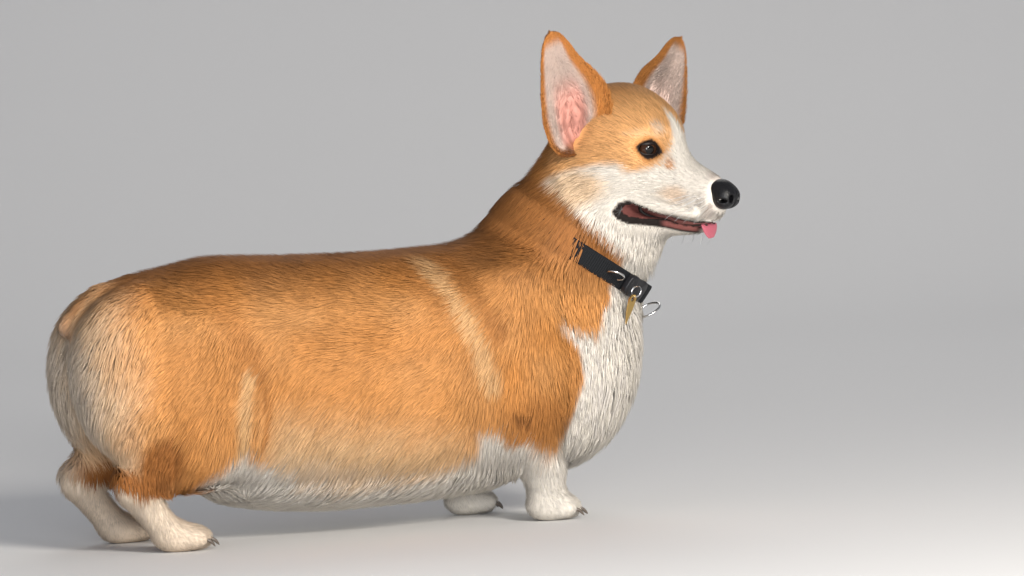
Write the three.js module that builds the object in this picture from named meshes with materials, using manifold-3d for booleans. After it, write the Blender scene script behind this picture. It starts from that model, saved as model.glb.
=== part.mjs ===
// A Pembroke Welsh corgi standing still at life size, its head turned to its right, with a collar and tag.
// Millimetres, +X from tail to chest, +Y to the dog's left, +Z up. The pads of all four paws stand on z = 0.

import * as THREE from "three";
import { mergeVertices } from "three/addons/utils/BufferGeometryUtils.js";
import Module from "manifold-3d";

const wasm = await Module();
wasm.setup();

// Driving dimensions
const BACK_HEIGHT = 260;
const BELLY_HEIGHT = 24;
const LONG_COAT = 7;
const BODY_HALF_WIDTH = 112;
const RUMP_X = -284;
const CHEST_X = 280;
const STANCE_HALF = 58;
const GAP = 0.3;

// The head turns about the neck and looks to the dog's right, a little down.
const HEAD = { at: [289, -59, 337], yaw: -50, pitch: 10, roll: 2 };
const EYE = { x: 3, y: 27.5, z: 0, radius: 11 };
const NOSE = { x: 70, z: -35, radii: [13.5, 13.5, 13] };
const MOUTH_CORNER = { x: -9, z: -58 };

// Small vector helpers on [x, y, z]
const add = (a, b, t = 1) => [a[0] + b[0] * t, a[1] + b[1] * t, a[2] + b[2] * t];
const sub = (a, b) => add(a, b, -1);
const dot = (a, b) => a[0] * b[0] + a[1] * b[1] + a[2] * b[2];
const size = (a) => Math.hypot(...a);
const unit = (a) => a.map((v) => v / size(a));
const cross = (a, b) => [a[1] * b[2] - a[2] * b[1], a[2] * b[0] - a[0] * b[2], a[0] * b[1] - a[1] * b[0]];
const clamp = (v, low, high) => Math.min(high, Math.max(low, v));
const mix = (a, b, t) => a + (b - a) * t;
const smooth = (low, high, v) => {
  const t = clamp((v - low) / (high - low), 0, 1);
  return t * t * (3 - 2 * t);
};
const rad = THREE.MathUtils.degToRad;

// A turned frame: yaw about Z, then pitch of the nose downwards, then roll about the nose.
function frameOf({ at, yaw = 0, pitch = 0, roll = 0 }) {
  const turn = new THREE.Matrix4().makeRotationFromEuler(
    new THREE.Euler(rad(roll), rad(pitch), rad(yaw), "ZYX"),
  );
  const e = turn.elements;
  const axes = [e.slice(0, 3), e.slice(4, 7), e.slice(8, 11)];
  return {
    out: (p) => add(add(add(at, axes[0], p[0]), axes[1], p[1]), axes[2], p[2]),
    in: (p) => axes.map((axis) => dot(sub(p, at), axis)),
    way: (d) => add(add(axes[0].map((v) => v * d[0]), axes[1], d[1]), axes[2], d[2]),
    matrix: turn.clone().setPosition(...at),
  };
}
const head = frameOf(HEAD);

// Fields: each form is a function of a point that is negative inside it, in millimetres.
function ellipsoid(at, radii, { yaw = 0, pitch = 0 } = {}) {
  const frame = frameOf({ at, yaw, pitch });
  return (p) => {
    const q = frame.in(p);
    const k0 = size(q.map((v, i) => v / radii[i]));
    const k1 = size(q.map((v, i) => v / radii[i] ** 2));
    return k1 < 1e-9 ? -Math.min(...radii) : (k0 * (k0 - 1)) / k1;
  };
}

function taper(from, to, startRadius, endRadius) {
  const along = sub(to, from);
  const span = dot(along, along);
  return (p) => {
    const q = sub(p, from);
    const t = clamp(dot(q, along) / span, 0, 1);
    return size(add(q, along, -t)) - mix(startRadius, endRadius, t);
  };
}

const inHead = (form) => (p) => form(head.in(p));
const mirrored = (form) => (p) => form([p[0], Math.abs(p[1]), p[2]]);
const within = (low, high) => (p) => Math.max(...p.map((v, i) => Math.max(low[i] - v, v - high[i])));
const both = (...forms) => (p) => Math.max(...forms.map((form) => form(p)));

// Joins [form, softness] pairs one after another; a negative softness carves the form away instead.
function sculpt(...pairs) {
  return (p) => {
    let d = pairs[0][0](p);
    for (const [form, softness] of pairs.slice(1)) {
      const k = Math.abs(softness);
      const e = softness < 0 ? -form(p) : form(p);
      const h = Math.max(k - Math.abs(d - e), 0) / k;
      d = softness < 0 ? Math.max(d, e) + (h * h * k) / 4 : Math.min(d, e) - (h * h * k) / 4;
    }
    return d;
  };
}

// Smooth curve through stations [position, value, ...], read at x, one number for each column.
function stationsAt(stations, x) {
  const last = stations.length - 1;
  let i = 0;
  while (i < last - 1 && x > stations[i + 1][0]) i++;
  const [a, b] = [stations[i], stations[i + 1]];
  const before = stations[Math.max(i - 1, 0)];
  const after = stations[Math.min(i + 2, last)];
  const t = clamp((x - a[0]) / (b[0] - a[0]), 0, 1);
  return a.slice(1).map((value, n) => {
    const c = n + 1;
    const gap = b[0] - a[0];
    const slopeIn = ((b[c] - before[c]) / (b[0] - before[0])) * gap;
    const slopeOut = ((after[c] - a[c]) / (after[0] - a[0])) * gap;
    return (
      value * (2 * t ** 3 - 3 * t ** 2 + 1) +
      slopeIn * (t ** 3 - 2 * t ** 2 + t) +
      b[c] * (-2 * t ** 3 + 3 * t ** 2) +
      slopeOut * (t ** 3 - t ** 2)
    );
  });
}

// The barrel of the trunk: at each x its top, its bottom and its half width.
const BARREL = [
  [-215, BACK_HEIGHT - 3, 72, BODY_HALF_WIDTH - 20],
  [-140, BACK_HEIGHT + 4, 38, BODY_HALF_WIDTH - 14],
  [-60, BACK_HEIGHT, BELLY_HEIGHT + 1, BODY_HALF_WIDTH - 3],
  [20, BACK_HEIGHT - 2, BELLY_HEIGHT, BODY_HALF_WIDTH],
  [100, BACK_HEIGHT, BELLY_HEIGHT + 4, BODY_HALF_WIDTH - 6],
  [190, BACK_HEIGHT - 2, 42, BODY_HALF_WIDTH - 20],
];
const BARREL_END = 78;
const BARREL_SQUARENESS = 2.3;
function barrel(p) {
  const [top, bottom, half] = stationsAt(BARREL, p[0]);
  const middle = mix(bottom, top, 0.46);
  const rise = p[2] - middle;
  const tall = rise > 0 ? top - middle : middle - bottom;
  const n = BARREL_SQUARENESS;
  const f = ((Math.abs(p[1]) / half) ** n + (Math.abs(rise) / tall) ** n) ** (1 / n);
  const reach = Math.hypot(p[1], rise);
  const side = f < 1e-6 ? -half : reach * (1 - 1 / f);
  const [first, end] = [BARREL[0][0], BARREL[BARREL.length - 1][0]];
  const a = Math.max(first - p[0], p[0] - end) + BARREL_END;
  const b = Math.max(side, -BARREL_END) + BARREL_END;
  return Math.min(Math.max(a, b), 0) + Math.hypot(Math.max(a, 0), Math.max(b, 0)) - BARREL_END;
}

// Legs: joints from the shoulder or hip down. side is 1 for the dog's left and -1 for its right.
const FRONT = { left: { side: 1, x: 112 }, right: { side: -1, x: 157 } };
const HIND = { left: { side: 1, x: -213 }, right: { side: -1, x: -190 } };
const HIP_X = -191;
const PAW = { radii: [27, 22, 15], toe: [13, 8.2, 10], reach: 17, z: 12 };
const TOES = [-1.5, -0.5, 0.5, 1.5];

function pawForm(x, y, splay) {
  const paw = frameOf({ at: [x, y, 0], yaw: splay });
  const toes = TOES.map((n) => [
    ellipsoid(paw.out([PAW.reach - 2.6 * n * n, n * 10.5, PAW.z - 1]), PAW.toe, { yaw: splay + n * 5 }),
    5,
  ]);
  return sculpt([ellipsoid([x, y, PAW.z], PAW.radii, { yaw: splay }), 1], ...toes);
}

function frontLeg({ side, x }) {
  const y = side * STANCE_HALF;
  return sculpt(
    [ellipsoid([x - 26, side * 70, 118], [50, 36, 62], { pitch: 20 }), 1],
    [taper([x - 20, side * 68, 100], [x + 1, y + side * 2, 44], 33, 20), 22],
    [taper([x + 1, y + side * 2, 48], [x + 2, y, 20], 19.5, 18), 12],
    [pawForm(x + 8, y, side * 8), 10],
  );
}

function hindLeg({ side, x }) {
  const y = side * (STANCE_HALF + 3);
  const hock = [x - 42, y, 62];
  return sculpt(
    [ellipsoid([HIP_X + 4, side * 62, 142], [82, 49, 84], { pitch: -14 }), 1],
    [ellipsoid([HIP_X + 28, side * 74, 100], [48, 30, 44], { pitch: 24 }), 24],
    [taper([x + 10, side * 70, 92], hock, 34, 19), 16],
    [taper(hock, [x - 10, y, 18], 18, 16), 10],
    [pawForm(x + 4, y, side * 6), 12],
  );
}

const legForms = {
  front_leg_left: frontLeg(FRONT.left),
  front_leg_right: frontLeg(FRONT.right),
  hind_leg_left: hindLeg(HIND.left),
  hind_leg_right: hindLeg(HIND.right),
};

// Neck and trunk masses laid over the barrel
const tailForm = taper([-238, 0, 229], [RUMP_X + 14, 0, 206], 14, 9);
const NAPE = [[160, 0, 190], [212, -8, 254], [251, -18, 304]];
const trunk = sculpt(
  [barrel, 1],
  [mirrored(ellipsoid([RUMP_X + 76, 44, 164], [76 - LONG_COAT, 52, 80])), 22],
  [ellipsoid([-182, 0, 184], [80, 74, 71], { pitch: 4 }), 16],
  [tailForm, 16],
  [ellipsoid([CHEST_X - 94, 0, 153], [94 - LONG_COAT, 87 - LONG_COAT, 119 - LONG_COAT], { pitch: 4 }), 30],
  [mirrored(ellipsoid([128, 66, 158], [62, 42, 92], { pitch: 12 })), 26],
  [taper(NAPE[0], NAPE[1], 87, 71), 18],
  [taper(NAPE[1], NAPE[2], 71, 60), 14],
  [ellipsoid([251, -20, 230], [37, 38, 46], { yaw: -12 }), 20],
);

// Head masses in the head's own frame: +X along the muzzle, origin midway between the eyes
const skull = sculpt(
  [ellipsoid([-48, 0, -2], [60, 56, 54]), 1],
  [mirrored(ellipsoid([-54, 21, 12], [40, 32, 35])), 16],
  [ellipsoid([-14, 0, 6], [38, 33, 30], { pitch: 38 }), 18],
  [taper([6, 0, -22], [62, 0, -33], 24, 14.5), 18],
  [taper([0, 0, -34], [58, 0, -42], 26, 15), 12],
  [ellipsoid([63, 0, -47], [17, 14, 10]), 8],
  [mirrored(taper([-2, 34, -49], [50, 17, -54], 7, 6)), 8],
  [mirrored(ellipsoid([-42, 30, -30], [41, 28, 32], { yaw: -8 })), 14],
  [mirrored(ellipsoid([-66, 40, -44], [38, 30, 44])), 20],
  [mirrored(ellipsoid([26, 37, 0], [26, 16, 15], { yaw: 28 })), -12],
  [taper([-30, 0, -60], [52, 0, -66], 26, 12), 12],
  [ellipsoid([-34, 0, -74], [36, 32, 34]), 14],
);

const body = sculpt(
  [trunk, 1],
  ...Object.values(legForms).map((form) => [form, 16]),
  [inHead(skull), 26],
);
// Slope of a field at a point, by central differences
function slope(field, p, step = 0.5) {
  return [0, 1, 2].map((i) => {
    const d = [0, 0, 0];
    d[i] = step;
    return (field(add(p, d)) - field(sub(p, d))) / (2 * step);
  });
}

function settle(field, p, rounds = 3) {
  let q = p;
  for (let n = 0; n < rounds; n++) {
    const g = slope(field, q);
    q = add(q, g, -field(q) / Math.max(dot(g, g), 0.05));
  }
  return q;
}

// Coordinates of grid planes from low to high, each step as long as stepAt says there
function planes(low, high, stepAt) {
  const line = [low];
  while (line[line.length - 1] < high) line.push(line[line.length - 1] + stepAt(line[line.length - 1]));
  return line;
}

// Closed triangle surface where a field crosses zero inside a grid: one vertex in each cell that the
// surface passes, one four-sided face round each grid edge that it crosses, then evened out and settled.
function surfaceOf(form, grid, rounds = 3) {
  const inset = 0.3;
  const field = both(
    form,
    within(
      grid.map((line) => mix(line[1], line[2], inset)),
      grid.map((line) => mix(line[line.length - 2], line[line.length - 3], inset)),
    ),
  );
  const n = grid.map((line) => line.length);
  const stride = [1, n[0], n[0] * n[1]];
  const corner = (i, j, k) => i + n[0] * j + n[0] * n[1] * k;
  const place = (i, j, k) => [grid[0][i], grid[1][j], grid[2][k]];
  const value = new Float32Array(n[0] * n[1] * n[2]);
  for (let k = 0; k < n[2]; k++)
    for (let j = 0; j < n[1]; j++)
      for (let i = 0; i < n[0]; i++) value[corner(i, j, k)] = field(place(i, j, k));

  const vertexOf = new Map();
  const points = [];
  for (let k = 0; k < n[2] - 1; k++)
    for (let j = 0; j < n[1] - 1; j++)
      for (let i = 0; i < n[0] - 1; i++) {
        const crossings = [];
        for (let axis = 0; axis < 3; axis++)
          for (let c = 0; c < 4; c++) {
            const s = [i, j, k];
            s[(axis + 1) % 3] += c & 1;
            s[(axis + 2) % 3] += c >> 1;
            const a = value[corner(...s)];
            const b = value[corner(...s) + stride[axis]];
            if (a < 0 === b < 0) continue;
            const at = place(...s);
            at[axis] = mix(at[axis], grid[axis][s[axis] + 1], a / (a - b));
            crossings.push(at);
          }
        if (!crossings.length) continue;
        vertexOf.set(corner(i, j, k), points.length);
        points.push(crossings.reduce((s, p) => add(s, p, 1 / crossings.length), [0, 0, 0]));
      }

  const quads = [];
  for (let k = 1; k < n[2] - 1; k++)
    for (let j = 1; j < n[1] - 1; j++)
      for (let i = 1; i < n[0] - 1; i++)
        for (let axis = 0; axis < 3; axis++) {
          const c = corner(i, j, k);
          const a = value[c] < 0;
          if (a === value[c + stride[axis]] < 0) continue;
          const [u, v] = [stride[(axis + 1) % 3], stride[(axis + 2) % 3]];
          const ring = [c, c - u, c - u - v, c - v].map((id) => vertexOf.get(id));
          quads.push(a ? ring : ring.reverse());
        }
  return evened(field, points, quads, rounds);
}

// Moves each vertex towards the middle of its neighbours, settles it on the surface, and cuts the quads.
function evened(field, points, quads, rounds) {
  const near = points.map(() => new Set());
  for (const q of quads)
    q.forEach((v, i) => {
      near[v].add(q[(i + 1) % 4]);
      near[v].add(q[(i + 3) % 4]);
    });
  let moved = points;
  for (let r = 0; r < rounds; r++)
    moved = moved.map((p, v) => {
      const others = [...near[v]];
      const middle = others.reduce((s, o) => add(s, moved[o], 1 / others.length), [0, 0, 0]);
      return settle(field, add(p, sub(middle, p), 0.5), 2);
    });
  const index = quads.flatMap(([a, b, c, d]) =>
    size(sub(moved[a], moved[c])) < size(sub(moved[b], moved[d])) ? [a, b, c, a, c, d] : [b, c, d, b, d, a],
  );
  const geometry = new THREE.BufferGeometry();
  geometry.setAttribute("position", new THREE.Float32BufferAttribute(moved.flat(), 3));
  geometry.setIndex(index);
  return geometry;
}

// A geometry as a solid that can be joined and cut, its corners welded
const WELD = 1e-3;
function solidOf(geometry) {
  const bare = geometry.clone();
  bare.deleteAttribute("normal");
  bare.deleteAttribute("uv");
  const merged = mergeVertices(bare, WELD);
  return new wasm.Manifold(
    new wasm.Mesh({
      numProp: 3,
      vertProperties: merged.attributes.position.array,
      triVerts: new Uint32Array(merged.index.array),
    }),
  );
}

const largest = (solid) => solid.decompose().sort((a, b) => b.volume() - a.volume())[0];

// Half of space beyond a plane, as a large block whose one face lies on it
const REACH = 1600;
function beyond(point, normal) {
  const block = new THREE.BoxGeometry(REACH, REACH, REACH).translate(0, 0, REACH / 2);
  const turn = new THREE.Quaternion().setFromUnitVectors(
    new THREE.Vector3(0, 0, 1),
    new THREE.Vector3(...unit(normal)),
  );
  return solidOf(block.applyQuaternion(turn).translate(...point));
}

// A ball stretched to an ellipsoid, with its surface moved out by grow
function ball(at, radii, { yaw = 0, pitch = 0, grow = 0, around = 18, tall = 10, frame = null } = {}) {
  const g = new THREE.SphereGeometry(1, around, tall);
  g.scale(...radii.map((r) => r + grow));
  g.applyMatrix4(frameOf({ at, yaw, pitch }).matrix);
  if (frame) g.applyMatrix4(frame.matrix);
  return solidOf(g);
}

// Splits a solid by the cutter cutterOf(grow): the piece inside it, and the rest with a thin gap round it
const CUT_GAP = GAP + 0.08;
function part(solid, cutterOf) {
  return { inside: largest(solid.intersect(cutterOf(0))), rest: solid.subtract(cutterOf(CUT_GAP)) };
}

// Closed surface through rings of points, each ring with as many points, with a flat cap at each end
function skinOf(rings) {
  const count = rings[0].length;
  const middle = (ring) => ring.reduce((s, p) => add(s, p, 1 / count), [0, 0, 0]);
  const points = [...rings.flat(), middle(rings[0]), middle(rings[rings.length - 1])];
  const index = [];
  for (let r = 0; r < rings.length - 1; r++)
    for (let i = 0; i < count; i++) {
      const j = (i + 1) % count;
      const [a, b, c, d] = [r * count + i, r * count + j, (r + 1) * count + j, (r + 1) * count + i];
      index.push(a, b, c, a, c, d);
    }
  const [start, end] = [points.length - 2, points.length - 1];
  const top = (rings.length - 1) * count;
  for (let i = 0; i < count; i++) {
    const j = (i + 1) % count;
    index.push(start, j, i, end, top + i, top + j);
  }
  const geometry = new THREE.BufferGeometry();
  geometry.setAttribute("position", new THREE.Float32BufferAttribute(points.flat(), 3));
  geometry.setIndex(index);
  const made = solidOf(geometry);
  if (made.volume() > 0) return made;
  geometry.setIndex(index.reverse());
  return solidOf(geometry);
}

// Ear: a leaf-shaped cup. Its root is sunk in the skull, and its opening faces forwards and out.
const EAR = { thickness: 3.4, cup: 20, steps: 9, across: 7 };
const EARS = {
  left: { side: 1, root: [-52, 56, -8], tip: [-58, 113, 85], open: -12 },
  right: { side: -1, root: [-51, -56, -8], tip: [-60, -113, 106], open: 31 },
};
// Reach of the two edges from the line between root and tip: [share of the height, outer edge, inner edge]
const EAR_EDGE = [
  [0, 3, 4],
  [0.1, 25, 24],
  [0.28, 32, 37],
  [0.5, 29, 35],
  [0.75, 20, 20],
  [0.9, 13, 13],
  [0.96, 8.5, 9.5],
  [1, 3.5, 4],
];
function earFrame({ side, root, tip, open }) {
  const up = unit(sub(tip, root));
  const face = [Math.cos(rad(open)), side * Math.sin(rad(open)), 0];
  const across = unit(cross(up, face));
  return { up, across, face: cross(across, up), length: size(sub(tip, root)) };
}

function earSolid(ear) {
  const { up, across, face, length } = earFrame(ear);
  const rings = [];
  for (let s = 0; s <= EAR.steps; s++) {
    const t = s / EAR.steps;
    const [outer, inner] = stationsAt(EAR_EDGE, t);
    const [half, middle] = [(outer + inner) / 2, ((inner - outer) / 2) * -ear.side];
    const depth = EAR.cup * mix(1, 0.1, t ** 0.7) * Math.min(half / 22, 1);
    const line = (sign) =>
      Array.from({ length: EAR.across }, (_, i) => {
        const u = mix(-1, 1, i / (EAR.across - 1));
        const edge = Math.sqrt(Math.max(1 - u * u, 0));
        const out = depth * (u * u - 0.5) + (sign * EAR.thickness * mix(0.45, 1, edge)) / 2;
        return add(add(add(ear.root, up, t * length), across, middle + u * half), face, out);
      });
    rings.push([...line(1), ...line(-1).reverse()].map(head.out));
  }
  return skinOf(rings);
}

// Eyes and lids. The lid is a shell round the ball, open in an almond whose inner corner dips forwards.
const LID = { proud: 1.5, half: 10.4, tall: 7.6, tilt: 10, look: 37, show: 2, floor: 5.5 };
const eyeWay = (side) => [Math.cos(rad(LID.look)), side * Math.sin(rad(LID.look)), 0];

// The ball is set back along its line of sight until its front just stands out of the face.
function eyeCentre(side) {
  const way = eyeWay(side);
  const start = [EYE.x - 10 * way[0], side * EYE.y - 10 * way[1], EYE.z];
  let reach = 0;
  while (skull(add(start, way, reach)) < 0) reach += 0.25;
  return add(start, way, reach + LID.show - EYE.radius);
}
const eyeBall = (side, grow) =>
  ball(eyeCentre(side), [EYE.radius, EYE.radius, EYE.radius], { grow, around: 16, tall: 9, frame: head });
function almond(side) {
  const look = new THREE.Object3D();
  look.rotation.set(0, 0, rad(side * LID.look));
  const shape = new THREE.Shape();
  const corner = LID.half;
  shape.moveTo(-corner, 0);
  shape.quadraticCurveTo(-corner * 0.2, LID.tall * 2, corner, 0);
  shape.quadraticCurveTo(0, -LID.tall * 1.75, -corner, 0);
  const g = new THREE.ExtrudeGeometry(shape, { depth: 30, bevelEnabled: false, curveSegments: 8 });
  g.translate(0, 0, LID.floor);
  g.rotateZ(rad(side * LID.tilt));
  g.rotateY(rad(90));
  g.rotateX(rad(90));
  look.updateMatrix();
  g.applyMatrix4(look.matrix);
  g.translate(...eyeCentre(side));
  return solidOf(g.applyMatrix4(head.matrix));
}

// Nose: a rounded leather pad with two nostrils that curl out to the sides
const noseForm = sculpt(
  [ellipsoid([NOSE.x, 0, NOSE.z], NOSE.radii), 1],
  [ellipsoid([NOSE.x - 6, 0, NOSE.z + 6], [11, 12, 8]), 6],
);

// Each nostril is a round hole at the front that runs on in a slit round the side.
function nostril(side) {
  const facets = { around: 10, tall: 6, frame: head };
  const hole = ball([NOSE.x + 11, side * 5.6, NOSE.z - 1], [7, 2.9, 3.6], { yaw: side * 20, ...facets });
  const slit = ball([NOSE.x + 6, side * 11.2, NOSE.z - 3], [7, 3.4, 1.7], { yaw: side * 40, ...facets });
  return hole.add(slit);
}

// Mouth: the gap between the lips in side view, from the corner to the front, cut straight across
function mouthGap() {
  const shape = new THREE.Shape();
  shape.moveTo(MOUTH_CORNER.x, MOUTH_CORNER.z);
  shape.bezierCurveTo(-10, -48, 3, -48, 12, -53);
  shape.bezierCurveTo(24, -61, 42, -63, 60, -58.5);
  shape.lineTo(90, -50);
  shape.lineTo(90, -62);
  shape.lineTo(58, -66);
  shape.bezierCurveTo(40, -67, 16, -66, 0, -66);
  shape.quadraticCurveTo(-11, -66, MOUTH_CORNER.x, MOUTH_CORNER.z);
  const g = new THREE.ExtrudeGeometry(shape, { depth: 120, bevelEnabled: false, curveSegments: 6 });
  return solidOf(g.rotateX(rad(90)).translate(0, 60, 0).applyMatrix4(head.matrix));
}

// The jaw is what lies below a slanting cut from the corner of the mouth down to the throat.
function jawBlock(grow) {
  const shape = new THREE.Shape();
  shape.moveTo(MOUTH_CORNER.x + 3 - grow, -62 + grow);
  shape.lineTo(100, -62 + grow);
  shape.lineTo(100, -120);
  shape.lineTo(-20 - grow, -120);
  const g = new THREE.ExtrudeGeometry(shape, { depth: 120, bevelEnabled: false });
  return solidOf(g.rotateX(rad(90)).translate(0, 60, 0).applyMatrix4(head.matrix));
}

// Tongue: lies along the floor of the mouth, and its tip hangs over the lower lip
const TONGUE_ROUTE = [[2, -66], [22, -66.5], [40, -64.5], [53, -62], [61, -65.5], [63, -73]];
function tongueSolid(grow) {
  const route = new THREE.CatmullRomCurve3(TONGUE_ROUTE.map(([x, z]) => new THREE.Vector3(x, 0, z)));
  const rings = [];
  const steps = 14;
  for (let s = 0; s <= steps; s++) {
    const t = s / steps;
    const at = route.getPoint(t);
    const way = route.getTangent(t);
    const end = grow * (s === 0 ? -1 : s === steps ? 1 : 0);
    const half = mix(9, 12, smooth(0, 0.7, t)) * Math.sqrt(1 - smooth(0.8, 1.06, t) ** 2);
    const thick = mix(3, 2.2, t) * Math.sqrt(1 - smooth(0.8, 1.1, t) ** 2);
    const normal = [-way.z, 0, way.x];
    rings.push(
      Array.from({ length: 12 }, (_, i) => {
        const a = (i / 12) * 2 * Math.PI;
        const cupped = -1.2 * (1 - Math.cos(a) ** 2);
        const rise = (thick + grow) * Math.sin(a) + cupped;
        const line = [at.x + way.x * end, (half + grow) * Math.cos(a), at.z + way.z * end];
        return head.out(add(line, normal, rise));
      }),
    );
  }
  return skinOf(rings);
}

// Collar: a webbing band sunk in the coat, on a plane that slopes down to the throat
const COLLAR = { at: [216, -8, 245], normal: unit([0.57, -0.15, 0.82]), half: 9.5, inner: -4.2, outer: -1.2 };
const collarSide = unit(cross(COLLAR.normal, [1, 0, 0]));
const collarFront = cross(collarSide, COLLAR.normal);

// Place on the collar at a turn in degrees from the throat, with its outward, forward and upward ways
function collarSpot(degrees) {
  const angle = rad(degrees);
  const way = add(collarFront.map((v) => v * Math.cos(angle)), collarSide, Math.sin(angle));
  let [low, high] = [20, 140];
  for (let n = 0; n < 24; n++) {
    const middle = (low + high) / 2;
    if (body(add(COLLAR.at, way, middle)) < 0) low = middle;
    else high = middle;
  }
  return { at: add(COLLAR.at, way, low), way, along: cross(COLLAR.normal, way) };
}
function collarBand(inner, outer, half, turns = 34) {
  const rings = [];
  for (let i = 0; i < turns; i++) {
    const { at, way } = collarSpot((i / turns) * 360);
    const corner = (lift, depth) => add(add(at, COLLAR.normal, lift), way, depth);
    rings.push([corner(-half, inner), corner(half, inner), corner(half, outer), corner(-half, outer)]);
  }
  return loopOf(rings);
}

// A geometry drawn about the origin, set on the collar: X along it, Y up the neck, Z outwards
function onCollar(geometry, degrees, [x, y, z], turn = [0, 0, 0]) {
  const { at, way, along } = collarSpot(degrees);
  const basis = new THREE.Matrix4().makeBasis(
    new THREE.Vector3(...along),
    new THREE.Vector3(...COLLAR.normal),
    new THREE.Vector3(...way),
  );
  const place = add(add(add(at, along, x), COLLAR.normal, y), way, z);
  geometry.applyMatrix4(new THREE.Matrix4().makeRotationFromEuler(new THREE.Euler(...turn.map(rad))));
  return solidOf(geometry.applyMatrix4(basis).translate(...place));
}

// Closed tube whose last ring joins the first
function loopOf(rings) {
  const count = rings[0].length;
  const index = [];
  rings.forEach((_, r) => {
    const next = (r + 1) % rings.length;
    for (let i = 0; i < count; i++) {
      const j = (i + 1) % count;
      const [a, b, c, d] = [r * count + i, r * count + j, next * count + j, next * count + i];
      index.push(a, b, c, a, c, d);
    }
  });
  const geometry = new THREE.BufferGeometry();
  geometry.setAttribute("position", new THREE.Float32BufferAttribute(rings.flat(2), 3));
  geometry.setIndex(index);
  const made = solidOf(geometry);
  if (made.volume() > 0) return made;
  geometry.setIndex(index.reverse());
  return solidOf(geometry);
}

// Seeded numbers from 0 to 1, the same at each run
function randomFrom(seed) {
  let state = seed;
  return () => {
    state = (state * 1664525 + 1013904223) % 4294967296;
    return state / 4294967296;
  };
}

// One lock of long coat: flat, tapered and bending, its root sunk in the body, its tip lifting clear of it
const LOCK = { rings: [0, 0.36, 0.72], sink: 9, lift: 24, droop: 0.16 };
function lockSolid(root, flow, { long, wide, thick }) {
  const out = unit(slope(body, root, 2));
  const lie = unit(add(flow, out, -dot(flow, out)));
  const side = cross(out, lie);
  const way = add(lie.map((v) => v * Math.cos(rad(LOCK.lift))), out, Math.sin(rad(LOCK.lift)));
  const start = add(root, way, -LOCK.sink);
  const reach = long + LOCK.sink;
  const middle = (t) => add(add(start, way, reach * t), out, -reach * LOCK.droop * t * t);
  const rings = LOCK.rings.map((t) => {
    const w = (wide / 2) * mix(1.05, 0.45, t ** 1.5);
    const h = (thick / 2) * mix(1, 0.4, t);
    const at = middle(t);
    return [add(at, side, w), add(at, out, h), add(at, side, -w), add(at, out, -h)];
  });
  return spike(rings, middle(1));
}

// Closed surface through rings of points that ends in a point
function spike(rings, tip) {
  const count = rings[0].length;
  const points = [...rings.flat(), tip];
  const index = [];
  for (let r = 0; r < rings.length - 1; r++)
    for (let i = 0; i < count; i++) {
      const j = (i + 1) % count;
      const [a, b, c, d] = [r * count + i, r * count + j, (r + 1) * count + j, (r + 1) * count + i];
      index.push(a, b, c, a, c, d);
    }
  const top = (rings.length - 1) * count;
  for (let i = 0; i < count; i++) index.push(top + i, top + ((i + 1) % count), points.length - 1);
  for (let i = 1; i < count - 1; i++) index.push(0, i + 1, i);
  const geometry = new THREE.BufferGeometry();
  geometry.setAttribute("position", new THREE.Float32BufferAttribute(points.flat(), 3));
  geometry.setIndex(index);
  const made = solidOf(geometry);
  if (made.volume() > 0) return made;
  geometry.setIndex(index.reverse());
  return solidOf(geometry);
}

// Patches of locks. Each is a fan of rays from a middle point, turned round Z and raised above level, whose
// marks on the body are the roots. The coat lies along flow there, and its locks are long, wide and thick.
const PATCH_BIB = {
  ...{ from: [170, 0, 150], turn: [-66, 66], rise: [-62, 26], rows: 6, columns: 7 },
  ...{ flow: [0.2, 0, -1], long: 40, wide: 26, thick: 9 },
};
const PATCH_BREECHES = [-1, 1].map((side) => ({
  ...{ from: [-200, side * 40, 160], turn: [side * 118, side * 196], rise: [-34, 34], rows: 4, columns: 4 },
  ...{ flow: [-0.25, 0, -1], long: 36, wide: 24, thick: 8 },
}));
const PATCH_THROAT = {
  ...{ from: [252, -20, 236], turn: [-95, 62], rise: [-28, 8], rows: 2, columns: 6 },
  ...{ flow: [-0.1, 0, -1], long: 30, wide: 22, thick: 8 },
};
const PATCHES = [PATCH_BIB, ...PATCH_BREECHES, PATCH_THROAT];
const FRINGE = { from: -118, to: 66, count: 9, rise: -55, flow: [-0.4, 0, -1], long: 36, wide: 26, thick: 8 };
const CHEEK = { from: -34, to: 36, count: 5, flow: [-0.9, 0, -0.5], long: 26, wide: 20, thick: 7 };

function rootOf(origin, way) {
  let [low, high] = [10, 190];
  for (let n = 0; n < 22; n++) {
    const middle = (low + high) / 2;
    if (body(add(origin, way, middle)) < 0) low = middle;
    else high = middle;
  }
  return add(origin, way, low);
}
const towards = (turn, rise) => [
  Math.cos(rad(turn)) * Math.cos(rad(rise)),
  Math.sin(rad(turn)) * Math.cos(rad(rise)),
  Math.sin(rad(rise)),
];

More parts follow.
